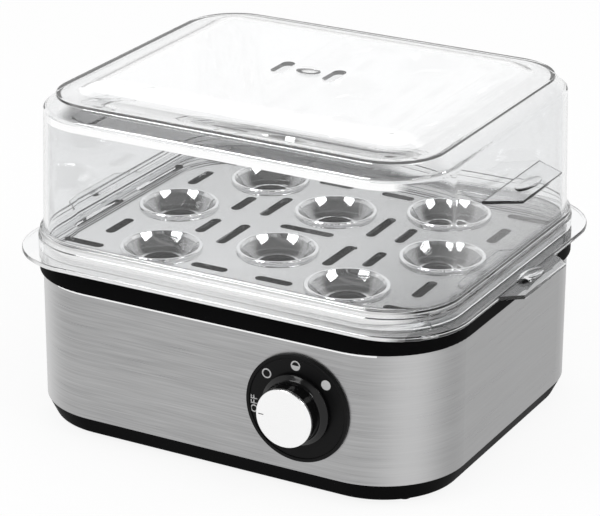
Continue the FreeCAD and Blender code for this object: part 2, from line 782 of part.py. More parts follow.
def switch_bracket():
    """Angle that carries the switch from the base's floor."""
    left = DIAL_X - BRACKET_WIDTH / 2
    right = DIAL_X + BRACKET_WIDTH / 2
    floor = Z_BASE + BASE_FLOOR
    face = FRONT + SLEEVE_WALL
    clear = SLEEVE_WALL + FIT_GAP + BASE_WALL + FIT_GAP
    knee = Z_SLEEVE + BASE_LIP_HEIGHT + FIT_GAP
    top = Z_RIM - RIM_LIP_HEIGHT - BRACKET_TOP_GAP
    plate = block(Vector(left, face, knee), Vector(right, face + BRACKET_THICK, top))
    leg_front = FRONT + clear + BASE_WALL * 2
    leg_back = leg_front + BRACKET_THICK
    jog = block(Vector(left, face, knee), Vector(right, leg_back, knee + BRACKET_THICK))
    leg = block(Vector(left, leg_front, floor), Vector(right, leg_back, knee))
    foot_back = leg_front + BRACKET_FOOT
    foot = block(Vector(left, leg_front, floor), Vector(right, foot_back, floor + BRACKET_THICK))
    bracket = fused(plate, jog, leg, foot)
    return bracket.cut(dial_rod(BUSH_RADIUS, face, face + BRACKET_THICK))


def switch_nut():
    """Nut that clamps the bezel and the switch to the steel."""
    centre = Vector(DIAL_X, BEZEL_FACE, Z_DIAL)
    return hex_nut(SWITCH_NUT_FLATS, BUSH_RADIUS, centre, Vector(0, -1, 0), SWITCH_NUT_HEIGHT)


def gland_rod(radius, start, end):
    """Round bar on the cable gland's axis between two depths."""
    height = Z_SLEEVE + GLAND_HEIGHT
    return rod(radius, Vector(GLAND_X, start, height), Vector(GLAND_X, end, height))


def cord_gland():
    """Snap-in cable bush in the back of the sleeve."""
    inside = BACK - SLEEVE_WALL
    end = inside - GLAND_COLLAR_LENGTH
    flange = gland_rod(GLAND_FLANGE, BACK, BACK + GLAND_FLANGE_THICK)
    barrel = gland_rod(GLAND_RADIUS, end, BACK)
    collar = gland_rod(GLAND_COLLAR, end, inside)
    body = fused(flange, barrel, collar)
    return body.cut(gland_rod(GLAND_BORE, end, BACK + GLAND_FLANGE_THICK))


def terminal_block():
    """Terminal strip on the floor with its wire and screw holes."""
    floor = Z_BASE + BASE_FLOOR
    low = Vector(BLOCK_X - BLOCK_WIDTH / 2, BLOCK_Y - BLOCK_DEPTH / 2, floor)
    strip = block(low, low + Vector(BLOCK_WIDTH, BLOCK_DEPTH, BLOCK_HEIGHT))
    holes = []
    for way in range(BLOCK_WAYS):
        x = BLOCK_X + (way - (BLOCK_WAYS - 1) / 2) * BLOCK_PITCH
        middle = floor + BLOCK_HEIGHT / 2
        holes.append(rod(BLOCK_BORE, Vector(x, low.y, middle), Vector(x, low.y + BLOCK_DEPTH, middle)))
        holes.append(rod(BLOCK_BORE, Vector(x, BLOCK_Y, middle), Vector(x, BLOCK_Y, floor + BLOCK_HEIGHT)))
    return strip.cut(holes)


def lens(centre, length, width, rise, root, along):
    """Long low dome on a flat face at centre, with a short root sunk in the face."""
    sink = (width * width / 4 - rise * rise) / (2 * rise)
    bow = (length * length / 4 + rise * rise) / (2 * rise)
    half = math.sqrt(bow * bow - (bow - rise - sink) ** 2)
    axis = centre - Vector(0, 0, sink)
    ends = [axis - along * half, axis + along * half]
    arc = Part.Arc(ends[0], centre + Vector(0, 0, rise), ends[1]).toShape()
    spindle = Part.Face(Part.Wire([arc, Part.makeLine(ends[1], ends[0])])).revolve(axis, along, 360)
    keep = block(centre + Vector(-length, -length, -root), centre + Vector(length, length, 2 * rise))
    return spindle.common(keep)


def grip_plate(root_x, root_half, tip_x, tip_half, bottom, thick):
    """Flat trapezoid grip on the right side, with a lens-shaped thumb oval."""
    corners = [
        Vector(root_x, -root_half, bottom),
        Vector(tip_x, -tip_half, bottom),
        Vector(tip_x, tip_half, bottom),
        Vector(root_x, root_half, bottom),
    ]
    plate = prism(corners, Vector(0, 0, thick))
    middle = Vector(tip_x - GRIP_OVAL_SETBACK, 0, bottom + thick)
    return plate, lens(middle, GRIP_OVAL_LENGTH, GRIP_OVAL_WIDTH, GRIP_OVAL_RISE, thick / 2, Vector(0, 1, 0))


def mirrored_pair(solid):
    """A piece and its mirror image on the left side."""
    return [solid, solid.mirror(Vector(), Vector(1, 0, 0))]


def egg_cup(x, y):
    """One egg cup: raised rim, sloping seat and drain hole."""
    rim_top = Z_TRAY_TOP + CUP_RIM_RISE
    inner = CUP_RIM_RADIUS - CUP_RIM_WIDTH
    bottom = Z_TRAY_TOP - CUP_DEPTH
    return turned([
        (CUP_RIM_RADIUS, rim_top, CUP_RIM_ROUND),
        (inner, rim_top, CUP_RIM_ROUND),
        (CUP_HOLE_RADIUS, bottom + CUP_WALL),
        (CUP_HOLE_RADIUS, bottom),
        (CUP_HOLE_RADIUS + CUP_WALL, bottom),
        (CUP_RIM_RADIUS, Z_TRAY),
    ], Vector(x, y, 0), Vector(0, 0, 1))


def egg_tray():
    """Tray with a lipped flange, egg cups, steam slots and side grips."""
    plate = TRAY.inset(TRAY_EDGE_ROUND).plate(Z_TRAY, Z_TRAY_TOP)
    lip = TRAY.ring([
        (0, Z_TRAY - TRAY_EDGE_DROP, TRAY_EDGE_ROUND),
        (0, Z_TRAY_TOP, TRAY_EDGE_ROUND),
        (TRAY_EDGE_WIDTH, Z_TRAY_TOP),
        (TRAY_EDGE_WIDTH, Z_TRAY - TRAY_EDGE_DROP),
    ])
    rib_out = RIM_LAND + TRAY_RIB_GAP
    rib_in = rib_out + TRAY_RIB_WALL
    rib_low = Z_TRAY - TRAY_RIB_DROP
    rib = BODY.ring([(rib_out, rib_low), (rib_out, Z_TRAY_TOP), (rib_in, Z_TRAY_TOP), (rib_in, rib_low)])
    kerb_out = LID_WALL + KERB_GAP
    kerb_in = kerb_out + KERB_WALL
    kerb_top = Z_TRAY_TOP + KERB_HEIGHT
    kerb = LID.ring([
        (kerb_out, Z_TRAY),
        (kerb_out, kerb_top, KERB_ROUND),
        (kerb_in, kerb_top, KERB_ROUND),
        (kerb_in, Z_TRAY),
    ])
    root = TRAY.half_x - TRAY_EDGE_WIDTH
    tip = TRAY.half_x + TRAY_GRIP_REACH
    grip, oval = grip_plate(root, TRAY_GRIP_ROOT, tip, TRAY_GRIP_TIP, Z_TRAY, TRAY_THICK)
    seats = []
    cups = []
    for centre_x, centre_y in CUP_CENTRES:
        for x, y in four_ways(centre_x, centre_y):
            seats.append(rod(CUP_RIM_RADIUS, Vector(x, y, Z_TRAY), Vector(x, y, Z_TRAY_TOP)))
            cups.append(egg_cup(x, y))
    slots = []
    for sizes, along_x in ((SIDE_SLOTS, False), (CROSS_SLOTS, True)):
        for centre_x, centre_y, length in sizes:
            for x, y in four_ways(centre_x, centre_y):
                slots.append(stadium(x, y, length, SLOT_WIDTH, Z_TRAY, Z_TRAY_TOP, along_x))
    tray = fused(plate, lip, rib, kerb, *mirrored_pair(grip), *mirrored_pair(oval))
    return fused(tray.cut(seats + slots), *cups)


def lid_section():
    """Half section of the lid's skin, up the outside and back down the inside."""
    shoulder = WALL_STEP + WALL_DRAFT
    panel = shoulder + SHOULDER_RUN
    rise = panel + PANEL_BORDER
    plateau = rise + PLATEAU_RUN
    z_panel = Z_LID_TOP - PANEL_DROP
    z_band = z_panel - PANEL_STEP
    lean = LID_WALL * math.tan(math.atan2(PANEL_DROP, PLATEAU_RUN) / 2)
    outside = [
        (0, Z_LID, SKIRT_ROUND),
        (0, Z_LID + SKIRT_HEIGHT, SKIRT_ROUND),
        (SKIRT_STEP, Z_LID + SKIRT_HEIGHT),
        (SKIRT_STEP, Z_LID + SKIRT_TOP, WALL_STEP_ROUND),
        (WALL_STEP, Z_LID + SKIRT_TOP),
        (shoulder, z_band - SHOULDER_RISE, SHOULDER_ROUND),
        (panel, z_band),
        (panel, z_panel, PANEL_ROUND),
        (rise, z_panel, PLATEAU_BEND),
        (plateau, Z_LID_TOP, PLATEAU_BEND),
        (plateau + PLATEAU_LAND, Z_LID_TOP),
    ]
    inside = [
        (plateau + PLATEAU_LAND, Z_LID_TOP - LID_WALL),
        (plateau + lean, Z_LID_TOP - LID_WALL, PLATEAU_BEND - LID_WALL),
        (rise + lean, z_panel - LID_WALL, PLATEAU_BEND),
        (panel + LID_WALL, z_panel - LID_WALL),
        (shoulder + LID_WALL, z_panel - LID_WALL - SHOULDER_RISE, SHOULDER_ROUND),
        (WALL_STEP + LID_WALL, Z_LID + SKIRT_TOP - LID_WALL / 2, WALL_STEP_ROUND),
        (LID_WALL, Z_LID + SKIRT_TOP - LID_WALL, WALL_STEP_ROUND),
        (LID_WALL, Z_LID),
    ]
    return outside + inside


def lid():
    """Clear cover with a domed top, steam vents, a grip dot and two side grips."""
    shell = LID.ring(lid_section())
    middle = WALL_STEP + WALL_DRAFT + SHOULDER_RUN + PANEL_BORDER + PLATEAU_RUN + PLATEAU_LAND
    plateau = LID.inset(middle).plate(Z_LID_TOP - LID_WALL, Z_LID_TOP)
    root = LID.half_x - WALL_STEP - WALL_DRAFT - LID_WALL / 2
    tip = root + LID_WALL / 2 + LID_GRIP_REACH
    bottom = Z_LID + LID_GRIP_HEIGHT - LID_GRIP_THICK
    grip, oval = grip_plate(root, LID_GRIP_ROOT, tip, LID_GRIP_TIP, bottom, LID_GRIP_THICK)
    dot = lens(Vector(0, 0, Z_LID_TOP), DOT_LENGTH, DOT_WIDTH, DOT_RISE, LID_WALL / 2, Vector(1, 0, 0))
    vents = []
    for side in (1, -1):
        x = side * VENT_SPACING / 2
        vents.append(stadium(x, 0, VENT_LENGTH, VENT_WIDTH, Z_LID_TOP - LID_WALL, Z_LID_TOP, False))
    cover = fused(shell, plateau, dot, *mirrored_pair(grip), *mirrored_pair(oval))
    return cover.cut(vents)


PIECES = [
    base_shell, steel_sleeve, top_rim, rubber_feet, base_screws,
    water_pan, pan_gasket, heater_plate, heating_element, thermostat, thermal_fuse, fuse_clip,
    pan_studs, clamp_bar, clamp_nuts, heat_shield,
    dial_bezel, knob, knob_cap, switch_shaft, knob_spring,
    control_switch, switch_bracket, switch_nut, cord_gland, terminal_block,
    egg_tray, lid,
]


def main():
    """Build every piece and write it with the footprint centred on the origin."""
    os.makedirs("parts", exist_ok=True)
    for piece in PIECES:
        shape = piece()
        shape.translate(Vector(0, ORIGIN_SHIFT, 0))
        print(piece.__name__, len(shape.Solids), shape.isValid(), round(shape.Volume))
        shape.exportStep("parts/" + piece.__name__ + ".step")


main()
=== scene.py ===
"""Looks of the egg cooker: finishes, softened mouldings, dial print, studio and camera."""

import logging
import math
from contextlib import contextmanager
from dataclasses import dataclass
from enum import Enum
from typing import Any, Callable, Dict, Iterator, List, Optional, Protocol, Sequence, Tuple, Union

import bpy
from mathutils import Matrix, Vector


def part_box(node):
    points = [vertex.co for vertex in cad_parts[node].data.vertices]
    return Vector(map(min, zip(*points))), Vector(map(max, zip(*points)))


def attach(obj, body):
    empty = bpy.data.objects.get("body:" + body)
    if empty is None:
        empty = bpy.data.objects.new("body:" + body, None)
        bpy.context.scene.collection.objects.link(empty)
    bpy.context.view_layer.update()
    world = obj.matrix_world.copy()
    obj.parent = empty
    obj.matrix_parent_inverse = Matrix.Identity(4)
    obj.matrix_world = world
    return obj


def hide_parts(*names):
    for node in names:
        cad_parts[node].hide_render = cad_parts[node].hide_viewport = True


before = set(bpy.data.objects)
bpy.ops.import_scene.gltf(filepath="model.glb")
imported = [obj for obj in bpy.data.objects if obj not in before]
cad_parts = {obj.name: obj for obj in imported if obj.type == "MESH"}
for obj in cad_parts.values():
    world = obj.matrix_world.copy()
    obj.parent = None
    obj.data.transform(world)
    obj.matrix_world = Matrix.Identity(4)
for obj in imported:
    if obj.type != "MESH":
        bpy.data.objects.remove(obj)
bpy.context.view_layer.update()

LOG = logging.getLogger("egg_cooker")
MM = 0.001
DIAL_X = 48.8 * MM
DIAL_Z = 45.5 * MM
CUP_REACH = 104.0
NOISE_LOW = 0.3
NOISE_HIGH = 0.7
MIX_FIRST, MIX_SECOND, MIX_RESULT = 6, 7, 2
MESH_ITEMS = {"VERT": "vertices", "EDGE": "edges", "FACE": "polygons"}

Number = Union[int, float]
Colour = Tuple[float, float, float]
Corner = Tuple[float, float, float]
PathPoint = Tuple[float, float]
Span = Tuple[float, float]
Object = bpy.types.Object
Material = bpy.types.Material
Edge = bpy.types.MeshEdge


class Body(Enum):
    """Rigid groups that pieces ride on."""

    CASING = "casing"
    KNOB = "dial_knob"
    TRAY = "tray"
    COVER = "cover"


class Value:
    """A shader socket that takes part in Python arithmetic."""

    def __init__(self, sheet: "NodeSheet", socket: bpy.types.NodeSocket) -> None:
        """Keep the socket and the sheet it lies on."""
        self.sheet = sheet
        self.socket = socket

    def _math(self, operation: str, *operands: "Operand") -> "Value":
        """Result of one Math node, by Blender's name of the operation."""
        inputs = dict(enumerate(operands))
        return self.sheet.node("ShaderNodeMath", {"operation": operation}, inputs)

    def __add__(self, other: "Operand") -> "Value":
        """Sum."""
        return self._math("ADD", self, other)

    __radd__ = __add__

    def __sub__(self, other: "Operand") -> "Value":
        """Difference."""
        return self._math("SUBTRACT", self, other)

    def __rsub__(self, other: Number) -> "Value":
        """Difference with a number on the left."""
        return self._math("SUBTRACT", other, self)

    def __mul__(self, other: "Operand") -> "Value":
        """Product."""
        return self._math("MULTIPLY", self, other)

    def __abs__(self) -> "Value":
        """Size without sign."""
        return self._math("ABSOLUTE", self)

    def root(self) -> "Value":
        """Square root."""
        return self._math("SQRT", self)

    def sine(self) -> "Value":
        """Sine of an angle in radians."""
        return self._math("SINE", self)

    def above(self, limit: "Operand") -> "Value":
        """One where the value is over the limit."""
        return self._math("GREATER_THAN", self, limit)

    def below(self, limit: "Operand") -> "Value":
        """One where the value is under the limit."""
        return self._math("LESS_THAN", self, limit)

    def larger(self, other: "Operand") -> "Value":
        """The larger of two values."""
        return self._math("MAXIMUM", self, other)

    def ramp(self, low: Number, high: Number, start: Number, end: Number) -> "Value":
        """Straight ramp from start at low to end at high, held at both ends."""
        limits = {"From Min": low, "From Max": high, "To Min": start, "To Max": end}
        return self.sheet.node("ShaderNodeMapRange", {"clamp": True}, {"Value": self, **limits})

    def spread(self, start: Number, end: Number) -> "Value":
        """The middle part of a noise, stretched from one level to another."""
        return self.ramp(NOISE_LOW, NOISE_HIGH, start, end)


Operand = Union[Value, int, float]


class NodeSheet:
    """One node tree, filled through a single method."""

    def __init__(self, tree: bpy.types.NodeTree) -> None:
        """Start from an empty tree."""
        self.tree = tree
        self.tree.nodes.clear()

    def node(
        self,
        kind: str,
        settings: Optional[Dict[str, Any]] = None,
        inputs: Optional[Dict[Union[str, int], Any]] = None,
        output: Union[str, int] = 0,
    ) -> Value:
        """Add a node, set it up and feed it.

        Args:
            kind: Blender's node type.
            settings: node properties.
            inputs: values or links by socket name or place.
            output: socket that the result is read from.

        Returns:
            The chosen output.
        """
        made = self.tree.nodes.new(kind)
        for key, setting in (settings or {}).items():
            setattr(made, key, setting)
        for key, value in (inputs or {}).items():
            if isinstance(value, Value):
                self.tree.links.new(value.socket, made.inputs[key])
            else:
                made.inputs[key].default_value = value
        return Value(self, made.outputs[output])

    def axis(self, name: str) -> Value:
        """One of the object's own coordinates in metres."""
        where = self.node("ShaderNodeTexCoord", output="Object")
        return self.node("ShaderNodeSeparateXYZ", {}, {"Vector": where}, name)

    def noise(self, scale: Sequence[float], detail: float = 2.0) -> Value:
        """Noise from 0 to 1 on stretched object coordinates.

        Args:
            scale: cycles per metre along each axis.
            detail: octaves.

        Returns:
            The noise value.
        """
        where = self.node("ShaderNodeTexCoord", output="Object")
        place = self.node("ShaderNodeMapping", {}, {"Vector": where, "Scale": tuple(scale)})
        return self.node("ShaderNodeTexNoise", {}, {"Vector": place, "Scale": 1.0, "Detail": detail})

    def blend(self, factor: Operand, first: Any, second: Any) -> Value:
        """Mix two colours.

        Args:
            factor: share of the second colour.
            first: colour or link.
            second: colour or link.

        Returns:
            The mixed colour.
        """
        inputs: Dict[Union[str, int], Any] = {0: factor}
        for socket, shade in ((MIX_FIRST, first), (MIX_SECOND, second)):
            inputs[socket] = shade if isinstance(shade, Value) else (*shade, 1.0)
        return self.node("ShaderNodeMix", {"data_type": "RGBA"}, inputs, MIX_RESULT)

    def bump(self, height: Value, depth: float, strength: float = 1.0) -> Value:
        """Normal from a height of 0 to 1, its depth in metres and the share that shows."""
        inputs = {"Height": height, "Distance": depth, "Strength": strength}
        return self.node("ShaderNodeBump", {}, inputs)

    def close(self, shader: Value, output: str = "ShaderNodeOutputMaterial") -> None:
        """Lead a shader to the sheet's output."""
        end = self.tree.nodes.new(output)
        self.tree.links.new(shader.socket, end.inputs["Surface"])

    def surface(self, inputs: Dict[str, Any]) -> None:
        """Close the sheet with a principled surface that has these inputs."""
        self.close(self.node("ShaderNodeBsdfPrincipled", {}, inputs))


def material_sheet(name: str) -> Tuple[Material, NodeSheet]:
    """New material with an empty sheet.

    Args:
        name: the finish's name.

    Returns:
        The material and its sheet.
    """
    material = bpy.data.materials.new(name)
    material.use_nodes = True
    return material, NodeSheet(material.node_tree)


class Finish(Protocol):
    """Anything that makes its own material."""

    def material(self) -> Material:
        """Make the material."""


@dataclass(frozen=True)
class BrushedSteel:
    """Steel sheet with a fine grain, with painted shade on its right side and painted highlights round
    its corners and along its front edge.
    """

    name: str = "brushed_steel_band"
    node: str = "steel_sleeve"
    dark: Colour = (0.31, 0.31, 0.312)
    light: Colour = (0.455, 0.455, 0.457)
    # Painted shade: the right side is painted darker, towards this colour.
    side: Colour = (0.29, 0.29, 0.292)
    side_shade_share: float = 0.6
    # Painted highlight: the rounded corners are painted lighter, towards this colour.
    corner: Colour = (0.6, 0.6, 0.602)
    # Painted highlight: a bright line at the top of the front face, under the rim.
    edge: Colour = (0.93, 0.93, 0.93)
    roughness: Span = (0.25, 0.37)
    grain_span: Span = (0.25, 0.75)
    grain_length: float = 30.0
    grain_width: float = 1500.0
    grain_depth: float = 0.00001
    fine_share: float = 0.7
    broader_along: float = 4.0
    broader_across: float = 9.0
    corner_radius: float = 38.0 * MM
    # Top, height and front limit of the painted highlight under the rim.
    highlight_top: float = 79.8 * MM
    highlight_height: float = 1.5 * MM
    highlight_front: float = -90.0 * MM

    def grain(self, sheet: NodeSheet) -> Value:
        """Fine streaks over broader ones, along the sheet.

        Args:
            sheet: sheet to work on.

        Returns:
            The streaks from 0 to 1.
        """
        along, across = self.grain_length, self.grain_width
        fine = sheet.noise((along, along, across), 3.0)
        along, across = along / self.broader_along, across / self.broader_across
        broad = sheet.noise((along, along, across), 2.0)
        return fine * self.fine_share + broad * (1 - self.fine_share)

    def bend(self, sheet: NodeSheet) -> Value:
        """Mask of the painted corner highlight: one in the middle of each rounded corner, nought on
        the flat sides.

        Args:
            sheet: sheet to work on.

        Returns:
            The mask.
        """
        low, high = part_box(self.node)
        middle, half = (low + high) / 2, (high - low) / 2
        across = abs(sheet.axis("X") - middle.x) - (half.x - self.corner_radius)
        along = abs(sheet.axis("Y") - middle.y) - (half.y - self.corner_radius)
        both = across.larger(0) * along.larger(0) * (2 / self.corner_radius ** 2)
        return both * both * both

    def material(self) -> Material:
        """Grain in colour, roughness and relief, then painted side shade, painted corner highlights
        and a painted front-edge highlight.

        Returns:
            The material.
        """
        made, sheet = material_sheet(self.name)
        grain = self.grain(sheet)
        streaks = sheet.blend(grain.spread(0.0, 1.0), self.dark, self.light)
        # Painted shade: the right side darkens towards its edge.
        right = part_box(self.node)[1].x
        side_shade_mask = sheet.axis("X").ramp(right - self.corner_radius / 2, right, 0.0, self.side_shade_share)
        sides = sheet.blend(side_shade_mask, streaks, self.side)
        # Painted highlight on the rounded corners.
        corners = sheet.blend(self.bend(sheet), sides, self.corner)
        # Painted highlight along the front, under the rim.
        under_rim_highlight = sheet.axis("Z").above(self.highlight_top - self.highlight_height)
        front_highlight = sheet.axis("Y").below(self.highlight_front)
        sheet.surface({
            "Base Color": sheet.blend(under_rim_highlight * front_highlight, corners, self.edge),
            "Metallic": 1.0,
            "Roughness": grain.ramp(*self.grain_span, *self.roughness),
            "Normal": sheet.bump(grain, self.grain_depth),
        })
        return made


@dataclass(frozen=True)
class PlainFinish:
    """Opaque finish whose colour and gloss drift a little."""

    name: str
    colour: Colour
    roughness: float
    shade: float = 0.8
    gloss: Span = (0.9, 1.12)

    def drift(self, sheet: NodeSheet, noise: Value) -> Dict[str, Any]:
        """Let colour and roughness follow a noise.

        Args:
            sheet: sheet to work on.
            noise: noise from 0 to 1.

        Returns:
            Both inputs of the surface.
        """
        deep = tuple(channel * self.shade for channel in self.colour)
        return {
            "Base Color": sheet.blend(noise.spread(0.0, 1.0), deep, self.colour),
            "Roughness": noise.spread(*(self.roughness * share for share in self.gloss)),
        }


@dataclass(frozen=True)
class Moulding(PlainFinish):
    """Moulded plastic or rubber with a fine spark grain."""

    cloud: float = 34.0
    grain: float = 2200.0
    depth: float = 0.00002
    relief: float = 0.5
    shine: float = 0.5

    def material(self) -> Material:
        """Slightly uneven colour and gloss over a fine grain.

        Returns:
            The material.
        """
        made, sheet = material_sheet(self.name)
        grain = sheet.noise([self.grain] * 3)
        sheet.surface({
            **self.drift(sheet, sheet.noise([self.cloud] * 3, 3.0)),
            "Normal": sheet.bump(grain, self.depth, self.relief),
            "Specular IOR Level": self.shine,
        })
        return made


@dataclass(frozen=True)
class Metal(PlainFinish):
    """Plain metal with faint scuffs."""

    shade: float = 0.85
    gloss: Span = (0.8, 1.2)
    scuff: float = 260.0
    stretch: float = 0.2
    depth: float = 0.00002
    relief: float = 0.4

    def material(self) -> Material:
        """Scuffed metal.

        Returns:
            The material.
        """
        made, sheet = material_sheet(self.name)
        scuffs = sheet.noise((self.scuff, self.scuff * self.stretch, self.scuff), 4.0)
        sheet.surface({
            **self.drift(sheet, scuffs),
            "Metallic": 1.0,
            "Normal": sheet.bump(scuffs, self.depth, self.relief),
        })
        return made


@dataclass(frozen=True)
class BrightBand:
    """Painted highlight: a level of a clear moulding that is brighter. Sizes are in millimetres.

    It can be held to the front, fade out to the right and end at a reach from the middle.
    """

    low: float
    high: float
    shine: float
    front: float = 1000.0
    fade: float = 8.0
    right: float = 1000.0
    right_fade: float = 110.0
    reach: float = 1000.0

    def mask(self, sheet: NodeSheet) -> Value:
        """Strength of the band at each point.

        Args:
            sheet: sheet to work on.

        Returns:
            The band's shine, nought outside it.
        """
        across, height = sheet.axis("X"), sheet.axis("Z")
        start, full = (-self.front - self.fade) * MM, -self.front * MM
        ahead = (0 - sheet.axis("Y")).ramp(start, full, 0.0, self.shine)
        aside = across.ramp((self.right - self.right_fade) * MM, self.right * MM, 1.0, 0.0)
        level = height.above(self.low * MM) * height.below(self.high * MM)
        return level * abs(across).below(self.reach * MM) * ahead * aside

    @staticmethod
    def total(sheet: NodeSheet, bands: Sequence["BrightBand"]) -> Operand:
        """Sum of the bands' strengths at each point, or nought without bands."""
        return sum((band.mask(sheet) for band in bands), 0.0)


@dataclass(frozen=True)
class ClearPlastic:
    """Clear polished plastic, greyer through its walls, with its top painted whiter as painted light,
    painted reflection bands through Metallic and a painted white glow through emission.
    """

    name: str
    wall_tint: Colour
    # Painted light: on the lid the top is painted whiter than the walls; on the tray it matches the
    # walls.
    top_tint_and_painted_light: Colour
    ior: float
    coat: float
    coat_ior: float
    # Painted reflection and highlight bands, given through Metallic.
    painted_reflections: Tuple[BrightBand, ...]
    # Painted glow bands, given through emission.
    painted_glow: Tuple[BrightBand, ...] = ()
    top_start: float = 163.0 * MM
    top_end: float = 172.0 * MM
    top_coat: float = 0.15
    coat_right: float = 0.4
    coat_fade: float = 65.0 * MM
    coat_roughness: float = 0.02
    haze: float = 60.0
    haze_span: Span = (0.35, 0.75)
    haze_roughness: float = 0.004

    def coating(self, sheet: NodeSheet, top: Value) -> Value:
        """Gloss coat over the middle, weaker to the right, and a thin one on the top.

        Args:
            sheet: sheet to work on.
            top: one on the top of the moulding.

        Returns:
            The coat's weight.
        """
        across, reach = sheet.axis("X"), CUP_REACH * MM
        inner = abs(across).below(reach)
        aside = across.ramp(reach - self.coat_fade, reach, 1.0, self.coat_right)
        return (top * self.top_coat).larger(inner * aside * self.coat)

    def material(self) -> Material:
        """Clear surface, tinted by height with its top painted lighter, with the painted reflection
        bands and the painted glow.

        Returns:
            The material.
        """
        made, sheet = material_sheet(self.name)
        haze = sheet.noise([self.haze] * 3, 3.0)
        top = sheet.axis("Z").ramp(self.top_start, self.top_end, 0.0, 1.0)
        # Painted reflection bands as metallic strength, and painted glow bands as emission strength.
        mirror = BrightBand.total(sheet, self.painted_reflections)
        painted_glow = BrightBand.total(sheet, self.painted_glow)
        sheet.surface({
            # The top and the reflection bands take the lighter top colour: painted light.
            "Base Color": sheet.blend(top.larger(mirror), self.wall_tint, self.top_tint_and_painted_light),
            "Metallic": mirror,
            "Roughness": haze.ramp(*self.haze_span, 0.0, self.haze_roughness),
            "IOR": self.ior,
            "Transmission Weight": 1.0,
            "Coat Weight": self.coating(sheet, top),
            "Coat IOR": self.coat_ior,
            "Coat Roughness": self.coat_roughness,
            # Painted glow: white emission where the glow bands lie.
            "Emission Color": sheet.blend(painted_glow, (0.0, 0.0, 0.0), (1.0, 1.0, 1.0)),
            "Emission Strength": 1.0,
        })
        return made


@dataclass(frozen=True)
class PanCoating:
    """Dark non-stick coating with fine light flecks."""

    name: str = "pan_coating"
    colour: Colour = (0.03, 0.03, 0.031)
    fleck: Colour = (0.09, 0.09, 0.092)
    fleck_scale: float = 900.0
    fleck_span: Span = (0.66, 0.74)
    fleck_depth: float = 0.00003
    cloud: float = 25.0
    roughness: Span = (0.39, 0.53)
    relief: float = 0.4
    shine: float = 0.15

    def material(self) -> Material:
        """Flecked coating.

        Returns:
            The material.
        """
        made, sheet = material_sheet(self.name)
        flecks = sheet.noise([self.fleck_scale] * 3, 1.0)
        cloud = sheet.noise([self.cloud] * 3, 3.0)
        light = flecks.ramp(*self.fleck_span, 0.0, 1.0)
        sheet.surface({
            "Base Color": sheet.blend(light, self.colour, self.fleck),
            "Roughness": cloud.spread(*self.roughness),
            "Normal": sheet.bump(flecks, self.fleck_depth, self.relief),
            "Specular IOR Level": self.shine,
        })
        return made


@dataclass(frozen=True)
class BrightCap:
    """Satin bright cap, spun in fine rings, with a short dark pointer."""

    name: str = "bright_knob_cap"
    colour: Colour = (0.93, 0.93, 0.93)
    ink: Colour = (0.12, 0.12, 0.12)
    roughness: Span = (0.21, 0.29)
    pointer_start: float = 10.6 * MM
    pointer_end: float = 13.4 * MM
    pointer_width: float = 0.55 * MM
    ring_pitch: float = 0.35 * MM
    ring_depth: float = 0.000004
    relief: float = 0.5

    def material(self) -> Material:
        """Spun rings and the pointer, both about the knob's axis.

        Returns:
            The material.
        """
        made, sheet = material_sheet(self.name)
        left, up = DIAL_X - sheet.axis("X"), sheet.axis("Z") - DIAL_Z
        radius = (left * left + up * up).root()
        rings = (radius * (2 * math.pi / self.ring_pitch)).sine().ramp(-1.0, 1.0, 0.0, 1.0)
        in_length = left.above(self.pointer_start) * left.below(self.pointer_end)
        pointer = in_length * abs(up).below(self.pointer_width / 2)
        sheet.surface({
            "Base Color": sheet.blend(pointer, self.colour, self.ink),
            "Metallic": 1.0 - pointer,
            "Roughness": rings.ramp(0.0, 1.0, *self.roughness),
            "Normal": sheet.bump(rings, self.ring_depth, self.relief),
        })
        return made


BLACK = Moulding("black_moulding", (0.004, 0.004, 0.0042), 0.45, shine=0.008)
DIAL_BLACK = Moulding("dial_black", (0.005, 0.005, 0.0052), 0.35, shine=0.1)
KNOB_BLACK = Moulding("knob_black", (0.004, 0.004, 0.0042), 0.12, depth=0.000004, shine=0.3)
FOOT_RUBBER = Moulding("foot_rubber", (0.02, 0.02, 0.02), 0.8)
SEAL_RUBBER = Moulding("seal_rubber", (0.5, 0.5, 0.5), 0.6)
BROWN_MOULDING = Moulding("brown_moulding", (0.09, 0.05, 0.03), 0.45)
WHITE_MOULDING = Moulding("white_moulding", (0.8, 0.79, 0.75), 0.4)
WHITE_INK = Moulding("white_ink", (0.55, 0.55, 0.55), 0.5, depth=0.000005)
ZINC = Metal("zinc_plate", (0.6, 0.61, 0.63), 0.32)
ALLOY = Metal("plain_alloy", (0.68, 0.68, 0.69), 0.42)
HEATER = Metal("heater_sheath", (0.26, 0.25, 0.24), 0.5)

# Painted highlight and painted reflection bands of the lid, given through Metallic; the plateau and
# front-slope bands are a painted white glow, given through emission.
LID_FOOT = BrightBand(90.0, 102.6, 0.65, front=-89.0)
LID_WALL_TOP = BrightBand(159.9, 163.5, 0.97, front=-85.0, fade=4.0)
LID_SHOULDER = BrightBand(164.5, 170.4, 0.4, front=-82.0, fade=4.0)
LID_PLATEAU = BrightBand(172.5, 180.0, 0.04)
LID_FRONT_SLOPE = BrightBand(172.6, 176.7, 0.14, front=-58.0)
LID_CLEAR = ClearPlastic(
    "lid_clear",
    wall_tint=(0.89, 0.895, 0.9),
    # Painted light: the lid's top is whiter than its walls.
    top_tint_and_painted_light=(1.0, 1.0, 1.0),
    ior=1.5,
    coat=0.0,
    coat_ior=1.8,
    painted_reflections=(LID_FOOT, LID_WALL_TOP, LID_SHOULDER),
    painted_glow=(LID_PLATEAU, LID_FRONT_SLOPE),
)

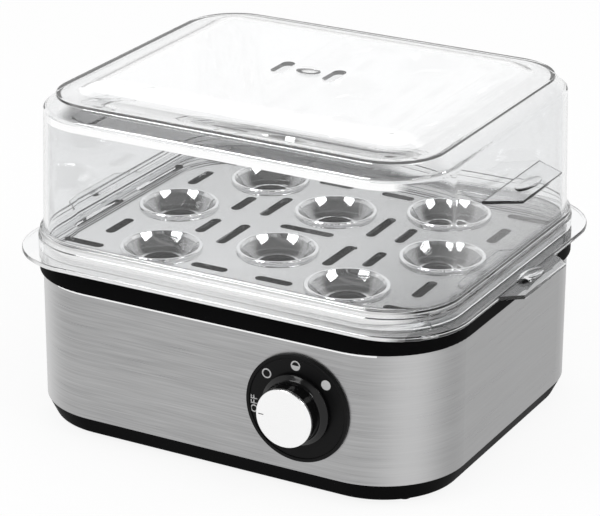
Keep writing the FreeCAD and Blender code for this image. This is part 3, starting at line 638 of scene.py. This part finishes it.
# Painted reflection and highlight bands of the tray, given through Metallic: the plate, brighter at
# the front, the cup feet, rims and crests, and the front edge.
TRAY_PLATE = BrightBand(92.8, 93.0, 0.26, right=110.0)
TRAY_PLATE_FRONT = BrightBand(92.8, 93.0, 0.5, front=-90.0, fade=180.0, right=100.0)
CUP_FEET = BrightBand(86.35, 86.8, 0.6, reach=CUP_REACH)
CUP_RIM_SIDES = BrightBand(93.05, 94.3, 0.65, reach=CUP_REACH)
CUP_RIM_CRESTS = BrightBand(94.3, 94.7, 0.95, reach=CUP_REACH)
TRAY_FRONT_EDGE = BrightBand(80.0, 92.8, 0.65, front=-97.0, fade=3.0)
TRAY_CLEAR = ClearPlastic(
    "tray_clear",
    wall_tint=(0.94, 0.945, 0.95),
    top_tint_and_painted_light=(0.94, 0.945, 0.95),
    ior=1.58,
    coat=1.0,
    coat_ior=3.2,
    painted_reflections=(
        TRAY_PLATE, TRAY_PLATE_FRONT, CUP_FEET, CUP_RIM_SIDES, CUP_RIM_CRESTS, TRAY_FRONT_EDGE,
    ),
)


def only(piece: Object) -> None:
    """Make one object the only selected and active one.

    Args:
        piece: the object.
    """
    bpy.ops.object.select_all(action="DESELECT")
    piece.select_set(True)
    bpy.context.view_layer.objects.active = piece


def primitive(
    add: Callable[..., Any], name: str, scale: Sequence[float] = (1.0, 1.0, 1.0), **settings: Any
) -> Object:
    """Add a mesh primitive with its place and size fixed in its mesh.

    Args:
        add: Blender's operator for the primitive.
        name: the object's name.
        scale: factor along each axis.
        settings: the operator's settings.

    Returns:
        The new object, selected and active.
    """
    bpy.ops.object.select_all(action="DESELECT")
    add(**settings)
    made = bpy.context.active_object
    made.name = name
    made.scale = scale
    bpy.ops.object.transform_apply(location=True, rotation=True, scale=True)
    return made


@contextmanager
def editing(
    piece: Object, kind: str = "VERT", test: Optional[Callable[[Any], bool]] = None
) -> Iterator[None]:
    """Edit a piece with all of it, or what meets a test, selected.

    Args:
        piece: the active object, in object mode.
        kind: select mode.
        test: tells which points, edges or faces are selected, or None for all of them.
    """
    bpy.ops.object.mode_set(mode="EDIT")
    bpy.ops.mesh.select_mode(type=kind)
    bpy.ops.mesh.select_all(action="DESELECT" if test else "SELECT")
    if test:
        bpy.ops.object.mode_set(mode="OBJECT")
        for item in getattr(piece.data, MESH_ITEMS[kind]):
            item.select = test(item)
        bpy.ops.object.mode_set(mode="EDIT")
    yield
    bpy.ops.object.mode_set(mode="OBJECT")


def modify(piece: Object, name: str, kind: str, **settings: Any) -> None:
    """Add a modifier and apply it.

    Args:
        piece: the active object.
        name: the modifier's name.
        kind: Blender's modifier type.
        settings: the modifier's properties.
    """
    change = piece.modifiers.new(name, kind)
    for key, setting in settings.items():
        setattr(change, key, setting)
    bpy.ops.object.modifier_apply(modifier=change.name)


def set_material(piece: Object, material: Material) -> None:
    """Give a piece one material."""
    piece.data.materials.clear()
    piece.data.materials.append(material)


def hand_in(piece: Object, body: Body, slot: str, nodes: Sequence[str] = ()) -> None:
    """Tie a finished piece to its body and hide the nodes it stands for.

    Args:
        piece: the finished object.
        body: rigid group it moves with.
        slot: not used.
        nodes: nodes that it replaces.
    """
    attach(piece, body.value)
    for node in nodes:
        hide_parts(node)
    LOG.info("%s rides on %s", piece.name, body.value)


@dataclass
class SoftMoulding:
    """A moulding whose sharp edges are eased as a real tool leaves them."""

    node: str
    body: Body
    slot: str
    finish: Finish
    edge: float
    segments: int = 2
    edge_angle: float = 50.0
    smooth_angle: float = 32.0
    merge: float = 0.000004
    flat_weight: int = 100

    def build(self) -> Object:
        """Ease the edges of the node's shape and dress it.

        Returns:
            The finished piece.
        """
        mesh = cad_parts[self.node].data.copy()
        piece = bpy.data.objects.new(self.node + "_moulding", mesh)
        bpy.context.scene.collection.objects.link(piece)
        only(piece)
        if piece.data.has_custom_normals:
            bpy.ops.mesh.customdata_custom_splitnormals_clear()
        with editing(piece):
            bpy.ops.mesh.remove_doubles(threshold=self.merge)
        self.shape(piece)
        modify(
            piece, "eased_edges", "BEVEL", width=self.edge, segments=self.segments,
            limit_method="ANGLE", angle_limit=math.radians(self.edge_angle),
        )
        bpy.ops.object.shade_smooth_by_angle(angle=math.radians(self.smooth_angle))
        modify(
            piece, "true_flats", "WEIGHTED_NORMAL", mode="FACE_AREA_WITH_ANGLE",
            weight=self.flat_weight, keep_sharp=True,
        )
        self.settle(piece)
        set_material(piece, self.finish.material())
        hand_in(piece, self.body, self.slot, [self.node])
        return piece

    def shape(self, piece: Object) -> None:
        """Leave the node's shape as it is."""

    def settle(self, piece: Object) -> None:
        """Leave the shading as it is."""


@dataclass
class Casing:
    """Base, rim, steel band, pan and the works inside."""

    black_edge: float = 0.25 * MM
    pan_edge: float = 0.3 * MM

    def build(self) -> None:
        """Ease the mouldings and dress the plain metal nodes."""
        for node, slot, finish, edge in (
            ("base_shell", "black_plastic", BLACK, self.black_edge),
            ("top_rim", "black_plastic", BLACK, self.black_edge),
            ("water_pan", "pan_coating", PanCoating(), self.pan_edge),
            ("rubber_feet", "foot_rubber", FOOT_RUBBER, self.black_edge),
            ("cord_gland", "black_plastic", BLACK, self.black_edge),
        ):
            SoftMoulding(node, Body.CASING, slot, finish, edge).build()
        self.dress(BrushedSteel(), "steel_sleeve")
        self.dress(SEAL_RUBBER, "pan_gasket")
        self.dress(ALLOY, "heater_plate", "heat_shield")
        self.dress(HEATER, "heating_element")
        self.dress(BROWN_MOULDING, "thermostat", "control_switch")
        self.dress(WHITE_MOULDING, "terminal_block")
        self.dress(
            ZINC, "thermal_fuse", "fuse_clip", "pan_studs", "clamp_bar", "clamp_nuts", "base_screws",
            "switch_bracket", "switch_nut", "switch_shaft", "knob_spring",
        )

    @staticmethod
    def dress(finish: Finish, *nodes: str) -> None:
        """Give plain nodes a finish.

        Args:
            finish: their finish.
            nodes: names of the nodes.
        """
        material = finish.material()
        for node in nodes:
            set_material(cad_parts[node], material)
            LOG.info("%s dressed with %s", node, material.name)


@dataclass
class DialPrint:
    """Setting marks printed round the knob."""

    mark_circle: float = 22.0 * MM
    mark_radius: float = 2.5 * MM
    stroke: float = 0.65 * MM
    ink: float = 0.06 * MM
    letter_height: float = 5.2 * MM
    letter_weight: float = 0.05 * MM
    letter_circle: float = 23.2 * MM
    ring_angle: float = 138.0
    half_angle: float = 92.0
    dot_angle: float = 45.0
    off_angle: float = 186.5
    floor_rise: float = 0.6 * MM
    corners: int = 48

    def spot(self, angle: float, circle: float) -> Vector:
        """Place of a mark on the floor of the dial plate.

        Args:
            angle: degrees anticlockwise from the right.
            circle: distance from the knob's axis.

        Returns:
            The place.
        """
        turn = math.radians(angle)
        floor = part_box("dial_bezel")[0].y + self.floor_rise
        return Vector((DIAL_X + circle * math.cos(turn), floor, DIAL_Z + circle * math.sin(turn)))

    def disc(self, name: str, angle: float, radius: float) -> Object:
        """Flat disc that faces the front, at an angle round the dial."""
        return primitive(
            bpy.ops.mesh.primitive_circle_add, name, vertices=self.corners, radius=radius,
            fill_type="NGON", location=self.spot(angle, self.mark_circle),
            rotation=(math.pi / 2, 0, 0),
        )

    def open_ring(self, name: str, angle: float) -> Object:
        """Flat ring.

        Args:
            name: the piece's name.
            angle: its place round the dial.

        Returns:
            The new object.
        """
        piece = self.disc(name, angle, self.mark_radius)
        with editing(piece, "FACE"):
            bpy.ops.mesh.inset(thickness=self.stroke, depth=0)
            bpy.ops.mesh.delete(type="FACE")
        return piece

    def half_disc(self, name: str, angle: float) -> Object:
        """Flat lower half of the disc inside a ring.

        Args:
            name: the piece's name.
            angle: its place round the dial.

        Returns:
            The new object.
        """
        piece = self.disc(name, angle, self.mark_radius - self.stroke)
        middle = self.spot(angle, self.mark_circle)
        with editing(piece):
            bpy.ops.mesh.bisect(plane_co=middle, plane_no=(0, 0, 1), clear_outer=True)
        return piece

    def off_word(self) -> Object:
        """OFF, reading upwards at the knob's rest position.

        Returns:
            The word as a flat mesh.
        """
        bpy.ops.object.select_all(action="DESELECT")
        bpy.ops.object.text_add()
        piece = bpy.context.active_object
        piece.name = "off_mark"
        piece.data.body = "OFF"
        piece.data.size = self.letter_height
        piece.data.align_x = "CENTER"
        piece.data.align_y = "CENTER"
        piece.data.offset = self.letter_weight
        bpy.ops.object.convert(target="MESH")
        turn = Matrix.Rotation(-math.pi / 2, 4, "Y") @ Matrix.Rotation(math.pi / 2, 4, "X")
        place = Matrix.Translation(self.spot(self.off_angle, self.letter_circle))
        piece.matrix_world = place @ turn
        bpy.ops.object.transform_apply(location=True, rotation=True, scale=True)
        return piece

    def thicken(self, piece: Object) -> None:
        """Give a flat mark the thickness of its ink and dress it.

        Args:
            piece: the flat mark.
        """
        only(piece)
        with editing(piece):
            bpy.ops.mesh.extrude_region_move(TRANSFORM_OT_translate={"value": (0, -self.ink, 0)})
            bpy.ops.mesh.select_all(action="SELECT")
            bpy.ops.mesh.normals_make_consistent(inside=False)
        set_material(piece, WHITE_INK.material())
        hand_in(piece, Body.CASING, "block_moulding")

    def build(self) -> None:
        """Print all the marks."""
        self.thicken(self.open_ring("soft_mark", self.ring_angle))
        self.thicken(self.open_ring("medium_mark_ring", self.half_angle))
        self.thicken(self.half_disc("medium_mark_fill", self.half_angle))
        self.thicken(self.disc("hard_mark", self.dot_angle, self.mark_radius))
        self.thicken(self.off_word())


@dataclass
class DialAssembly:
    """Dial plate, knob, cap and print."""

    plate_edge: float = 0.15 * MM
    knob_edge: float = 0.15 * MM
    cap_edge: float = 0.1 * MM

    def build(self) -> None:
        """Ease the dial's mouldings and print its marks."""
        SoftMoulding("dial_bezel", Body.CASING, "dial_plastic", DIAL_BLACK, self.plate_edge).build()
        SoftMoulding("knob", Body.KNOB, "knob_plastic", KNOB_BLACK, self.knob_edge).build()
        SoftMoulding("knob_cap", Body.KNOB, "bright_cap", BrightCap(), self.cap_edge).build()
        DialPrint().build()


def rounded_path(corners: Sequence[Corner], steps: int, support: float) -> List[PathPoint]:
    """Points along a section, with its corners rounded and its long runs held straight.

    Args:
        corners: inset, height and radius of each corner, in millimetres.
        steps: facets on each rounded corner.
        support: distance of the holding points from the ends of a long run.

    Returns:
        Inset and height of each point, in millimetres.
    """
    bent = [Vector(corners[0][:2])]
    for before, here, after in zip(corners, corners[1:], corners[2:]):
        spot, radius = Vector(here[:2]), here[2]
        back = (Vector(before[:2]) - spot).normalized()
        ahead = (Vector(after[:2]) - spot).normalized()
        half = back.angle(ahead) / 2
        centre = spot + (back + ahead).normalized() * (radius / math.sin(half))
        arm = spot + back * (radius / math.tan(half)) - centre
        turn = math.copysign(math.pi - 2 * half, ahead.cross(back))
        for step in range(steps + 1):
            bent.append(centre + Matrix.Rotation(turn * step / steps, 2) @ arm)
    bent.append(Vector(corners[-1][:2]))
    held = bent[:1]
    for start, end in zip(bent, bent[1:]):
        run = end - start
        if run.length > 4 * support:
            held.append(start + run.normalized() * support)
            held.append(end - run.normalized() * support)
        held.append(end)
    return [(point.x, point.y) for point in held]


@dataclass
class ClearLid:
    """Clear cover: two skins of rounded rings joined at the foot, with vents, dot and grips.

    Sizes are in millimetres, up from the lid's foot and in from its outline.
    """

    half_x: float = 115.0
    half_y: float = 98.0
    corner: float = 38.7
    height: float = 84.0
    wall: float = 2.2
    skirt: float = 5.4
    skirt_round: float = 0.35
    skirt_step: float = 0.8
    skirt_top: float = 9.0
    step_draft: float = 0.1
    step_round: float = 0.25
    wall_step: float = 2.7
    wall_round: float = 0.8
    wall_foot_round: float = 0.5
    shoulder: float = 4.5
    shoulder_rise: float = 5.8
    shoulder_round: float = 2.5
    panel: float = 11.1
    panel_step: float = 1.2
    panel_draft: float = 0.15
    panel_round: float = 0.35
    panel_foot_round: float = 0.3
    panel_inner_round: float = 0.6
    rise: float = 20.7
    plateau: float = 32.7
    land: float = 4.3
    panel_drop: float = 5.3
    bend: float = 20.0
    corner_steps: int = 24
    side_cuts: int = 8
    bend_steps: int = 6
    support: float = 0.8
    vent_spacing: float = 28.8
    vent_length: float = 18.0
    vent_width: float = 6.6
    vent_round: float = 0.495
    vent_steps: int = 8
    dot: Tuple[float, float, float] = (6.5, 4.5, 1.5)
    dome_sides: int = 48
    grip_height: float = 46.8
    grip_thick: float = 1.6
    grip_root: float = 109.6
    grip_tip: float = 128.0
    grip_root_half: float = 34.0
    grip_tip_half: float = 22.5
    grip_edge: float = 0.4
    tip_facing: float = 0.9
    oval: Tuple[float, float, float] = (4.6, 12.0, 0.7)
    oval_setback: float = 8.0
    smooth_angle: float = 30.0

    def spot(self, x: float, y: float, z: float) -> Vector:
        """Place in metres of a point given from the middle of the lid's foot."""
        low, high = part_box("lid")
        return Vector(((low.x + high.x) / 2, (low.y + high.y) / 2, low.z)) + Vector((x, y, z)) * MM

    def outside(self) -> List[PathPoint]:
        """Outer section from the foot to the plateau.

        Returns:
            Inset and height of each point.
        """
        z_panel = self.height - self.panel_drop
        z_band = z_panel - self.panel_step
        return rounded_path([
            (0.0, 0.0, 0.0),
            (0.0, self.skirt, self.skirt_round),
            (self.skirt_step, self.skirt + self.step_draft, self.step_round),
            (self.skirt_step, self.skirt_top, self.wall_round),
            (self.wall_step, self.skirt_top + self.step_draft, self.wall_foot_round),
            (self.shoulder, z_band - self.shoulder_rise, self.shoulder_round),
            (self.panel - self.panel_draft, z_band, self.panel_foot_round),
            (self.panel, z_panel, self.panel_round),
            (self.rise, z_panel, self.bend),
            (self.plateau, self.height, self.bend),
            (self.plateau + self.land, self.height, 0.0),
        ], self.bend_steps, self.support)

    def inside(self) -> List[PathPoint]:
        """Inner section from the foot to the underside of the plateau.

        Returns:
            Inset and height of each point.
        """
        z_panel = self.height - self.panel_drop - self.wall
        lean = self.wall * math.tan(math.atan2(self.panel_drop, self.plateau - self.rise) / 2)
        return rounded_path([
            (self.wall, 0.0, 0.0),
            (self.wall, self.skirt_top - self.wall, self.wall_round),
            (self.wall_step + self.wall, self.skirt_top - self.wall / 2, self.wall_round),
            (self.shoulder + self.wall, z_panel - self.shoulder_rise, self.shoulder_round),
            (self.panel + self.wall, z_panel, self.panel_inner_round),
            (self.rise + lean, z_panel, self.bend),
            (self.plateau + lean, self.height - self.wall, self.bend - self.wall),
            (self.plateau + self.land, self.height - self.wall, 0.0),
        ], self.bend_steps, self.support)

    @staticmethod
    def long_edges(piece: Object, limit: float) -> Callable[[Edge], bool]:
        """Test for edges over a length.

        Args:
            piece: object that the edges belong to.
            limit: the length in millimetres.

        Returns:
            The test.
        """
        def test(edge: Edge) -> bool:
            """One edge against the limit."""
            first, second = (piece.data.vertices[index].co for index in edge.vertices)
            return (first - second).length > limit * MM

        return test

    def skin(self, name: str, path: Sequence[PathPoint]) -> Object:
        """One skin: a rounded rectangle stepped inwards and upwards along a section.

        Args:
            name: the skin's name.
            path: inset and height of each ring.

        Returns:
            The open skin.
        """
        start, floor = path[0]
        piece = primitive(
            bpy.ops.mesh.primitive_plane_add, name,
            ((self.half_x - start) * MM, (self.half_y - start) * MM, 1.0),
            size=2.0, location=self.spot(0, 0, floor),
        )
        with editing(piece):
            bpy.ops.mesh.bevel(
                offset=(self.corner - start) * MM, segments=self.corner_steps, profile=0.5,
                affect="VERTICES",
            )
        with editing(piece, "EDGE", self.long_edges(piece, self.corner)):
            bpy.ops.mesh.subdivide(number_cuts=self.side_cuts)
        with editing(piece, "FACE"):
            for (inset, height), (next_inset, next_height) in zip(path, path[1:]):
                bpy.ops.mesh.inset(
                    thickness=max(next_inset - inset, 0.0) * MM, depth=(next_height - height) * MM
                )
        return piece

    def shell(self) -> Object:
        """Both skins, bridged round the foot.

        Returns:
            The closed shell.
        """
        inner = self.skin("lid_inside", self.inside())
        with editing(inner):
            bpy.ops.mesh.flip_normals()
        outer = self.skin("clear_lid", self.outside())
        inner.select_set(True)
        bpy.ops.object.join()
        with editing(outer, "EDGE"):
            bpy.ops.mesh.select_all(action="DESELECT")
            bpy.ops.mesh.select_non_manifold(
                use_wire=False, use_multi_face=False, use_non_contiguous=False, use_verts=False
            )
            bpy.ops.mesh.bridge_edge_loops()
        return outer

    def vent(self, side: int) -> Object:
        """Cutter for one steam vent.

        Args:
            side: 1 for the right vent, -1 for the left one.

        Returns:
            The cutter.
        """
        depth = 3 * self.vent_length
        cutter = primitive(
            bpy.ops.mesh.primitive_cube_add, "vent_cutter",
            (self.vent_width * MM, self.vent_length * MM, depth * MM),
            size=1.0, location=self.spot(side * self.vent_spacing / 2, 0, self.height - self.wall / 2),
        )
        with editing(cutter, "EDGE", self.long_edges(cutter, 2 * self.vent_length)):
            bpy.ops.mesh.bevel(
                offset=self.vent_width * self.vent_round * MM, segments=self.vent_steps,
                affect="EDGES",
            )
        return cutter

    def grip(self, side: int) -> Object:
        """Flat side grip that narrows to its tip.

        Args:
            side: 1 for the right grip, -1 for the left one.

        Returns:
            The grip.
        """
        reach = self.grip_tip - self.grip_root
        middle = self.grip_height - self.grip_thick / 2
        piece = primitive(
            bpy.ops.mesh.primitive_cube_add, "lid_grip",
            (reach * MM, 2 * self.grip_root_half * MM, self.grip_thick * MM),
            size=1.0, location=self.spot(side * (self.grip_root + reach / 2), 0, middle),
        )
        narrow = self.grip_tip_half / self.grip_root_half
        with editing(piece, "FACE", lambda face: side * face.normal.x > self.tip_facing):
            bpy.ops.transform.resize(value=(1, narrow, 1), center_override=self.spot(0, 0, 0))
            bpy.ops.mesh.select_all(action="SELECT")
            bpy.ops.mesh.bevel(offset=self.grip_edge * MM, segments=1, affect="EDGES")
        return piece

    def dome(self, name: str, place: Vector, radii: Sequence[float]) -> Object:
        """Low oval dome, by its middle and its half sizes along the axes."""
        return primitive(
            bpy.ops.mesh.primitive_uv_sphere_add, name, [radius * MM for radius in radii],
            segments=self.dome_sides, ring_count=self.dome_sides // 2, radius=1.0, location=place,
        )

    @staticmethod
    def combine(piece: Object, tool: Object, operation: str) -> None:
        """Cut or add one solid.

        Args:
            piece: object that is changed.
            tool: solid that is used up.
            operation: Blender's name of the operation.
        """
        only(piece)
        modify(piece, "change", "BOOLEAN", operation=operation, solver="EXACT", object=tool)
        bpy.data.objects.remove(tool, do_unlink=True)

    def build(self) -> Object:
        """Make the whole lid and dress it.

        Returns:
            The finished lid.
        """
        lid = self.shell()
        for side in (1, -1):
            self.combine(lid, self.vent(side), "DIFFERENCE")
            self.combine(lid, self.grip(side), "UNION")
            thumb = self.spot(side * (self.grip_tip - self.oval_setback), 0, self.grip_height)
            self.combine(lid, self.dome("thumb_oval", thumb, self.oval), "UNION")
        self.combine(lid, self.dome("grip_dot", self.spot(0, 0, self.height), self.dot), "UNION")
        only(lid)
        bpy.ops.object.shade_smooth_by_angle(angle=math.radians(self.smooth_angle))
        set_material(lid, LID_CLEAR.material())
        hand_in(lid, Body.COVER, "clear_lid", ["lid"])
        return lid


@dataclass(frozen=True)
class CupWall:
    """One side of a cup's wall, by radius and height over the cup's foot, in millimetres."""

    foot_radius: float
    foot_height: float
    top_radius: float
    top_height: float
    slack: float = 0.4

    def level(self, radius: float, height: float) -> float:
        """Find how far up the wall a point lies.

        Args:
            radius: distance from the cup's axis.
            height: height over the cup's foot.

        Returns:
            0 at the foot and 1 at the top, or -1 away from the wall.
        """
        level = (height - self.foot_height) / (self.top_height - self.foot_height)
        wanted = self.foot_radius + level * (self.top_radius - self.foot_radius)
        return level if abs(radius - wanted) < self.slack else -1.0


@dataclass
class EggTray(SoftMoulding):
    """Clear tray whose egg seats are drawn into bowls. Sizes of the cups are in millimetres."""

    node: str = "egg_tray"
    body: Body = Body.TRAY
    slot: str = "clear_tray"
    finish: Finish = TRAY_CLEAR
    edge: float = 0.35 * MM
    cups: Tuple[Tuple[float, float], ...] = ((75.0, 0.0), (52.0, 55.0), (0.0, 30.0))
    cup_radius: float = 20.9
    walls: Tuple[CupWall, ...] = (CupWall(9.5, 1.6, 18.8, 9.4), CupWall(11.1, 0.0, 20.8, 6.0))
    edge_reach: float = 2.0
    cuts: int = 3
    levels: int = 12
    bowl_drop: float = 6.0
    bowl_sides: int = 96
    seat_margin: float = 0.04
    seat_group: str = "seats"

    def axes(self) -> List[Vector]:
        """Middles of the cups, seen from above.

        Returns:
            One point for each cup.
        """
        low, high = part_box(self.node)
        middle = (low + high) / 2
        spots = {(side * x, end * y) for x, y in self.cups for side in (1, -1) for end in (1, -1)}
        return [middle.xy + Vector(spot) * MM for spot in sorted(spots)]

    def cup_places(self, piece: Object) -> List[PathPoint]:
        """Radius from the nearest cup's axis and height over its foot, for every point.

        Args:
            piece: object in object mode.

        Returns:
            Radius and height of each point.
        """
        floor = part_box(self.node)[0].z
        axes = self.axes()
        places = []
        for point in piece.data.vertices:
            radius = min((point.co.xy - axis).length for axis in axes)
            places.append((radius / MM, (point.co.z - floor) / MM))
        return places

    def drop(self, level: float) -> float:
        """Depth of the bowl under the straight wall at a level from 0 to 1."""
        return self.bowl_drop * level * (1 - level)

    def cut_walls(self, piece: Object, cuts: int) -> None:
        """Cut the edges that run down the cup walls.

        Args:
            piece: the active object.
            cuts: cuts for each edge.
        """
        radii = [radius for radius, _ in self.cup_places(piece)]

        def runs_down(edge: Edge) -> bool:
            """Tell whether an edge runs down a cup wall."""
            first, second = (radii[index] for index in edge.vertices)
            return max(first, second) < self.cup_radius and abs(first - second) > self.edge_reach

        with editing(piece, "EDGE", runs_down):
            bpy.ops.mesh.subdivide(number_cuts=cuts)

    def lower_rings(self, piece: Object) -> None:
        """Lower each ring of the cup walls to its place in the bowl.

        Args:
            piece: the active object.
        """
        rings = [
            round(max(wall.level(*place) for wall in self.walls) * self.levels)
            for place in self.cup_places(piece)
        ]
        for ring in range(1, self.levels):
            with editing(piece, "VERT", lambda point: rings[point.index] == ring):
                bpy.ops.transform.translate(value=(0, 0, -self.drop(ring / self.levels) * MM))

    def shape(self, piece: Object) -> None:
        """Cut the cup walls into rings and lower the rings into a bowl."""
        self.cut_walls(piece, self.cuts)
        self.lower_rings(piece)

    def true_bowls(self) -> Object:
        """Fine bowls that the seats take their shading from.

        Returns:
            The eight bowls as one object.
        """
        wall = self.walls[0]
        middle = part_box(self.node)[0].z + (wall.foot_height + wall.top_height) / 2 * MM
        bowls = [
            primitive(
                bpy.ops.mesh.primitive_cone_add, "bowl", vertices=self.bowl_sides,
                radius1=wall.foot_radius * MM, radius2=wall.top_radius * MM,
                depth=(wall.top_height - wall.foot_height) * MM, end_fill_type="NOTHING",
                location=(axis.x, axis.y, middle),
            )
            for axis in self.axes()
        ]
        for bowl in bowls:
            bowl.select_set(True)
        bpy.ops.object.join()
        joined = bpy.context.active_object
        self.cut_walls(joined, self.levels - 1)
        self.lower_rings(joined)
        with editing(joined):
            bpy.ops.mesh.flip_normals()
        bpy.ops.object.shade_smooth()
        return joined

    def on_seat(self, radius: float, height: float) -> bool:
        """Tell whether a point lies on a bowl, away from its edges.

        Args:
            radius: distance from the cup's axis.
            height: height over the cup's foot.

        Returns:
            True on the bowl.
        """
        wall = self.walls[0]
        level = (radius - wall.foot_radius) / (wall.top_radius - wall.foot_radius)
        straight = wall.foot_height + level * (wall.top_height - wall.foot_height)
        near = abs(height - straight + self.drop(level)) < wall.slack
        return near and self.seat_margin < level < 1 - self.seat_margin

    def settle(self, piece: Object) -> None:
        """Shade the seats as true bowls.

        Args:
            piece: the tray.
        """
        bowls = self.true_bowls()
        only(piece)
        group = piece.vertex_groups.new(name=self.seat_group)
        seats = [index for index, place in enumerate(self.cup_places(piece)) if self.on_seat(*place)]
        group.add(seats, 1.0, "REPLACE")
        modify(
            piece, "bowl_shading", "DATA_TRANSFER", object=bowls, use_loop_data=True,
            data_types_loops={"CUSTOM_NORMAL"}, loop_mapping="POLYINTERP_NEAREST",
            vertex_group=self.seat_group,
        )
        piece.vertex_groups.clear()
        bpy.data.objects.remove(bowls, do_unlink=True)


@dataclass
class Lamp:
    """One soft box. Angles are in degrees, sizes in metres."""

    name: str
    azimuth: float
    elevation: float = 47.0
    distance: float = 1.7
    width: float = 0.8
    height: float = 0.42
    power: float = 6.0

    def build(self, target: Vector) -> None:
        """Hang the soft box round the target, facing it.

        Args:
            target: point that the lamp faces.
        """
        data = bpy.data.lights.new(self.name, "AREA")
        data.shape = "RECTANGLE"
        data.size = self.width
        data.size_y = self.height
        data.energy = self.power
        lamp = bpy.data.objects.new(self.name, data)
        bpy.context.scene.collection.objects.link(lamp)
        away = -view_ray(self.azimuth, self.elevation)
        lamp.location = target + away * self.distance
        lamp.rotation_mode = "QUATERNION"
        lamp.rotation_quaternion = (-away).to_track_quat("-Z", "Y")


def view_ray(azimuth: float, elevation: float) -> Vector:
    """Direction of sight towards the object.

    Args:
        azimuth: degrees round from the front to the right.
        elevation: degrees over the floor.

    Returns:
        The direction.
    """
    turn, lift = math.radians(azimuth), math.radians(elevation)
    level = math.cos(lift)
    return Vector((-math.sin(turn) * level, math.cos(turn) * level, -math.sin(lift)))


@dataclass
class Studio:
    """Pale floor, soft light and the camera."""

    azimuth: float = 28.817
    elevation: float = 21.931
    roll: float = 0.174
    focal_pixels: float = 2734.0
    frame_width: float = 600.0
    sensor: float = 36.0
    distance: float = 1383.6 * MM
    target_right: float = -3.85 * MM
    target_up: float = 77.73 * MM
    target_back: float = 4.4 * MM
    clip_start: float = 0.05
    clip_end: float = 60.0
    lamp_turn: float = 58.0
    floor_half: float = 6.0
    floor_drop: float = 0.0002
    floor_tone: float = 0.9
    floor_glow: float = 0.88
    ambient: float = 0.85
    top_shade: float = 0.1
    white_end: float = 0.52
    shade_start: float = 0.72

    def target(self) -> Vector:
        """Point of the object that the lamps face."""
        return Vector((0, self.target_back, self.target_up))

    def camera(self) -> None:
        """Place the camera at the photograph's view."""
        turn, roll = math.radians(self.azimuth), math.radians(self.roll)
        ahead = view_ray(self.azimuth, self.elevation)
        right = Vector((math.cos(turn), math.sin(turn), 0))
        up = right.cross(ahead)
        tilted_right = right * math.cos(roll) + up * math.sin(roll)
        tilted_up = up * math.cos(roll) - right * math.sin(roll)
        data = bpy.data.cameras.new("camera")
        data.sensor_width = self.sensor
        data.lens = self.focal_pixels * self.sensor / self.frame_width
        data.clip_start = self.clip_start
        data.clip_end = self.clip_end
        camera = bpy.data.objects.new("camera", data)
        bpy.context.scene.collection.objects.link(camera)
        place = right * self.target_right + self.target() - ahead * self.distance
        axes = Matrix((tilted_right, tilted_up, -ahead)).transposed().to_4x4()
        camera.matrix_world = Matrix.Translation(place) @ axes
        bpy.context.scene.camera = camera

    @staticmethod
    def ray(sheet: NodeSheet, kind: str) -> Value:
        """One for rays of a kind."""
        return sheet.node("ShaderNodeLightPath", output=f"Is {kind} Ray")

    def shiny(self, sheet: NodeSheet) -> Value:
        """One for rays that come off a mirror or through a clear wall."""
        return self.ray(sheet, "Glossy").larger(self.ray(sheet, "Transmission"))

    def world(self) -> None:
        """White walls, a dark ceiling in mirrors, a plain level for what is lit."""
        world = bpy.data.worlds.new("studio")
        bpy.context.scene.world = world
        world.use_nodes = True
        sheet = NodeSheet(world.node_tree)
        direct, shiny = self.ray(sheet, "Camera"), self.shiny(sheet)
        way = sheet.node("ShaderNodeTexCoord", output="Generated")
        height = sheet.node("ShaderNodeSeparateXYZ", {}, {0: way}, "Z")
        mirror = height.ramp(self.white_end, self.shade_start, 1.0, self.top_shade)
        unseen = shiny * mirror + (1 - shiny) * self.ambient
        strength = direct + (1 - direct) * unseen
        inputs = {"Color": (1, 1, 1, 1), "Strength": strength}
        sheet.close(sheet.node("ShaderNodeBackground", {}, inputs), "ShaderNodeOutputWorld")

    def floor(self) -> None:
        """Pale floor that keeps the object's shadow."""
        floor = primitive(
            bpy.ops.mesh.primitive_plane_add, "floor", size=2 * self.floor_half,
            location=(0, 0, -self.floor_drop),
        )
        material, sheet = material_sheet("pale_floor")
        seen = self.ray(sheet, "Camera").larger(self.shiny(sheet))
        tone = (self.floor_tone, self.floor_tone, self.floor_tone, 1.0)
        matt = sheet.node("ShaderNodeBsdfDiffuse", {}, {"Color": tone})
        glow = sheet.node("ShaderNodeEmission", {}, {"Color": (1, 1, 1, 1), "Strength": 1.0})
        inputs = {0: seen * self.floor_glow, 1: matt, 2: glow}
        sheet.close(sheet.node("ShaderNodeMixShader", {}, inputs))
        set_material(floor, material)

    def build(self) -> None:
        """Set up the whole studio."""
        bpy.context.scene.view_settings.view_transform = "Standard"
        self.camera()
        self.world()
        self.floor()
        for name, turn in (("left_box", -self.lamp_turn), ("right_box", self.lamp_turn)):
            Lamp(name, self.azimuth + turn).build(self.target())


def main() -> None:
    """Build and dress the cooker, then its studio."""
    logging.basicConfig(level=logging.INFO, format="%(message)s")
    Casing().build()
    DialAssembly().build()
    EggTray().build()
    ClearLid().build()
    Studio().build()


if __name__ == "__main__":
    main()
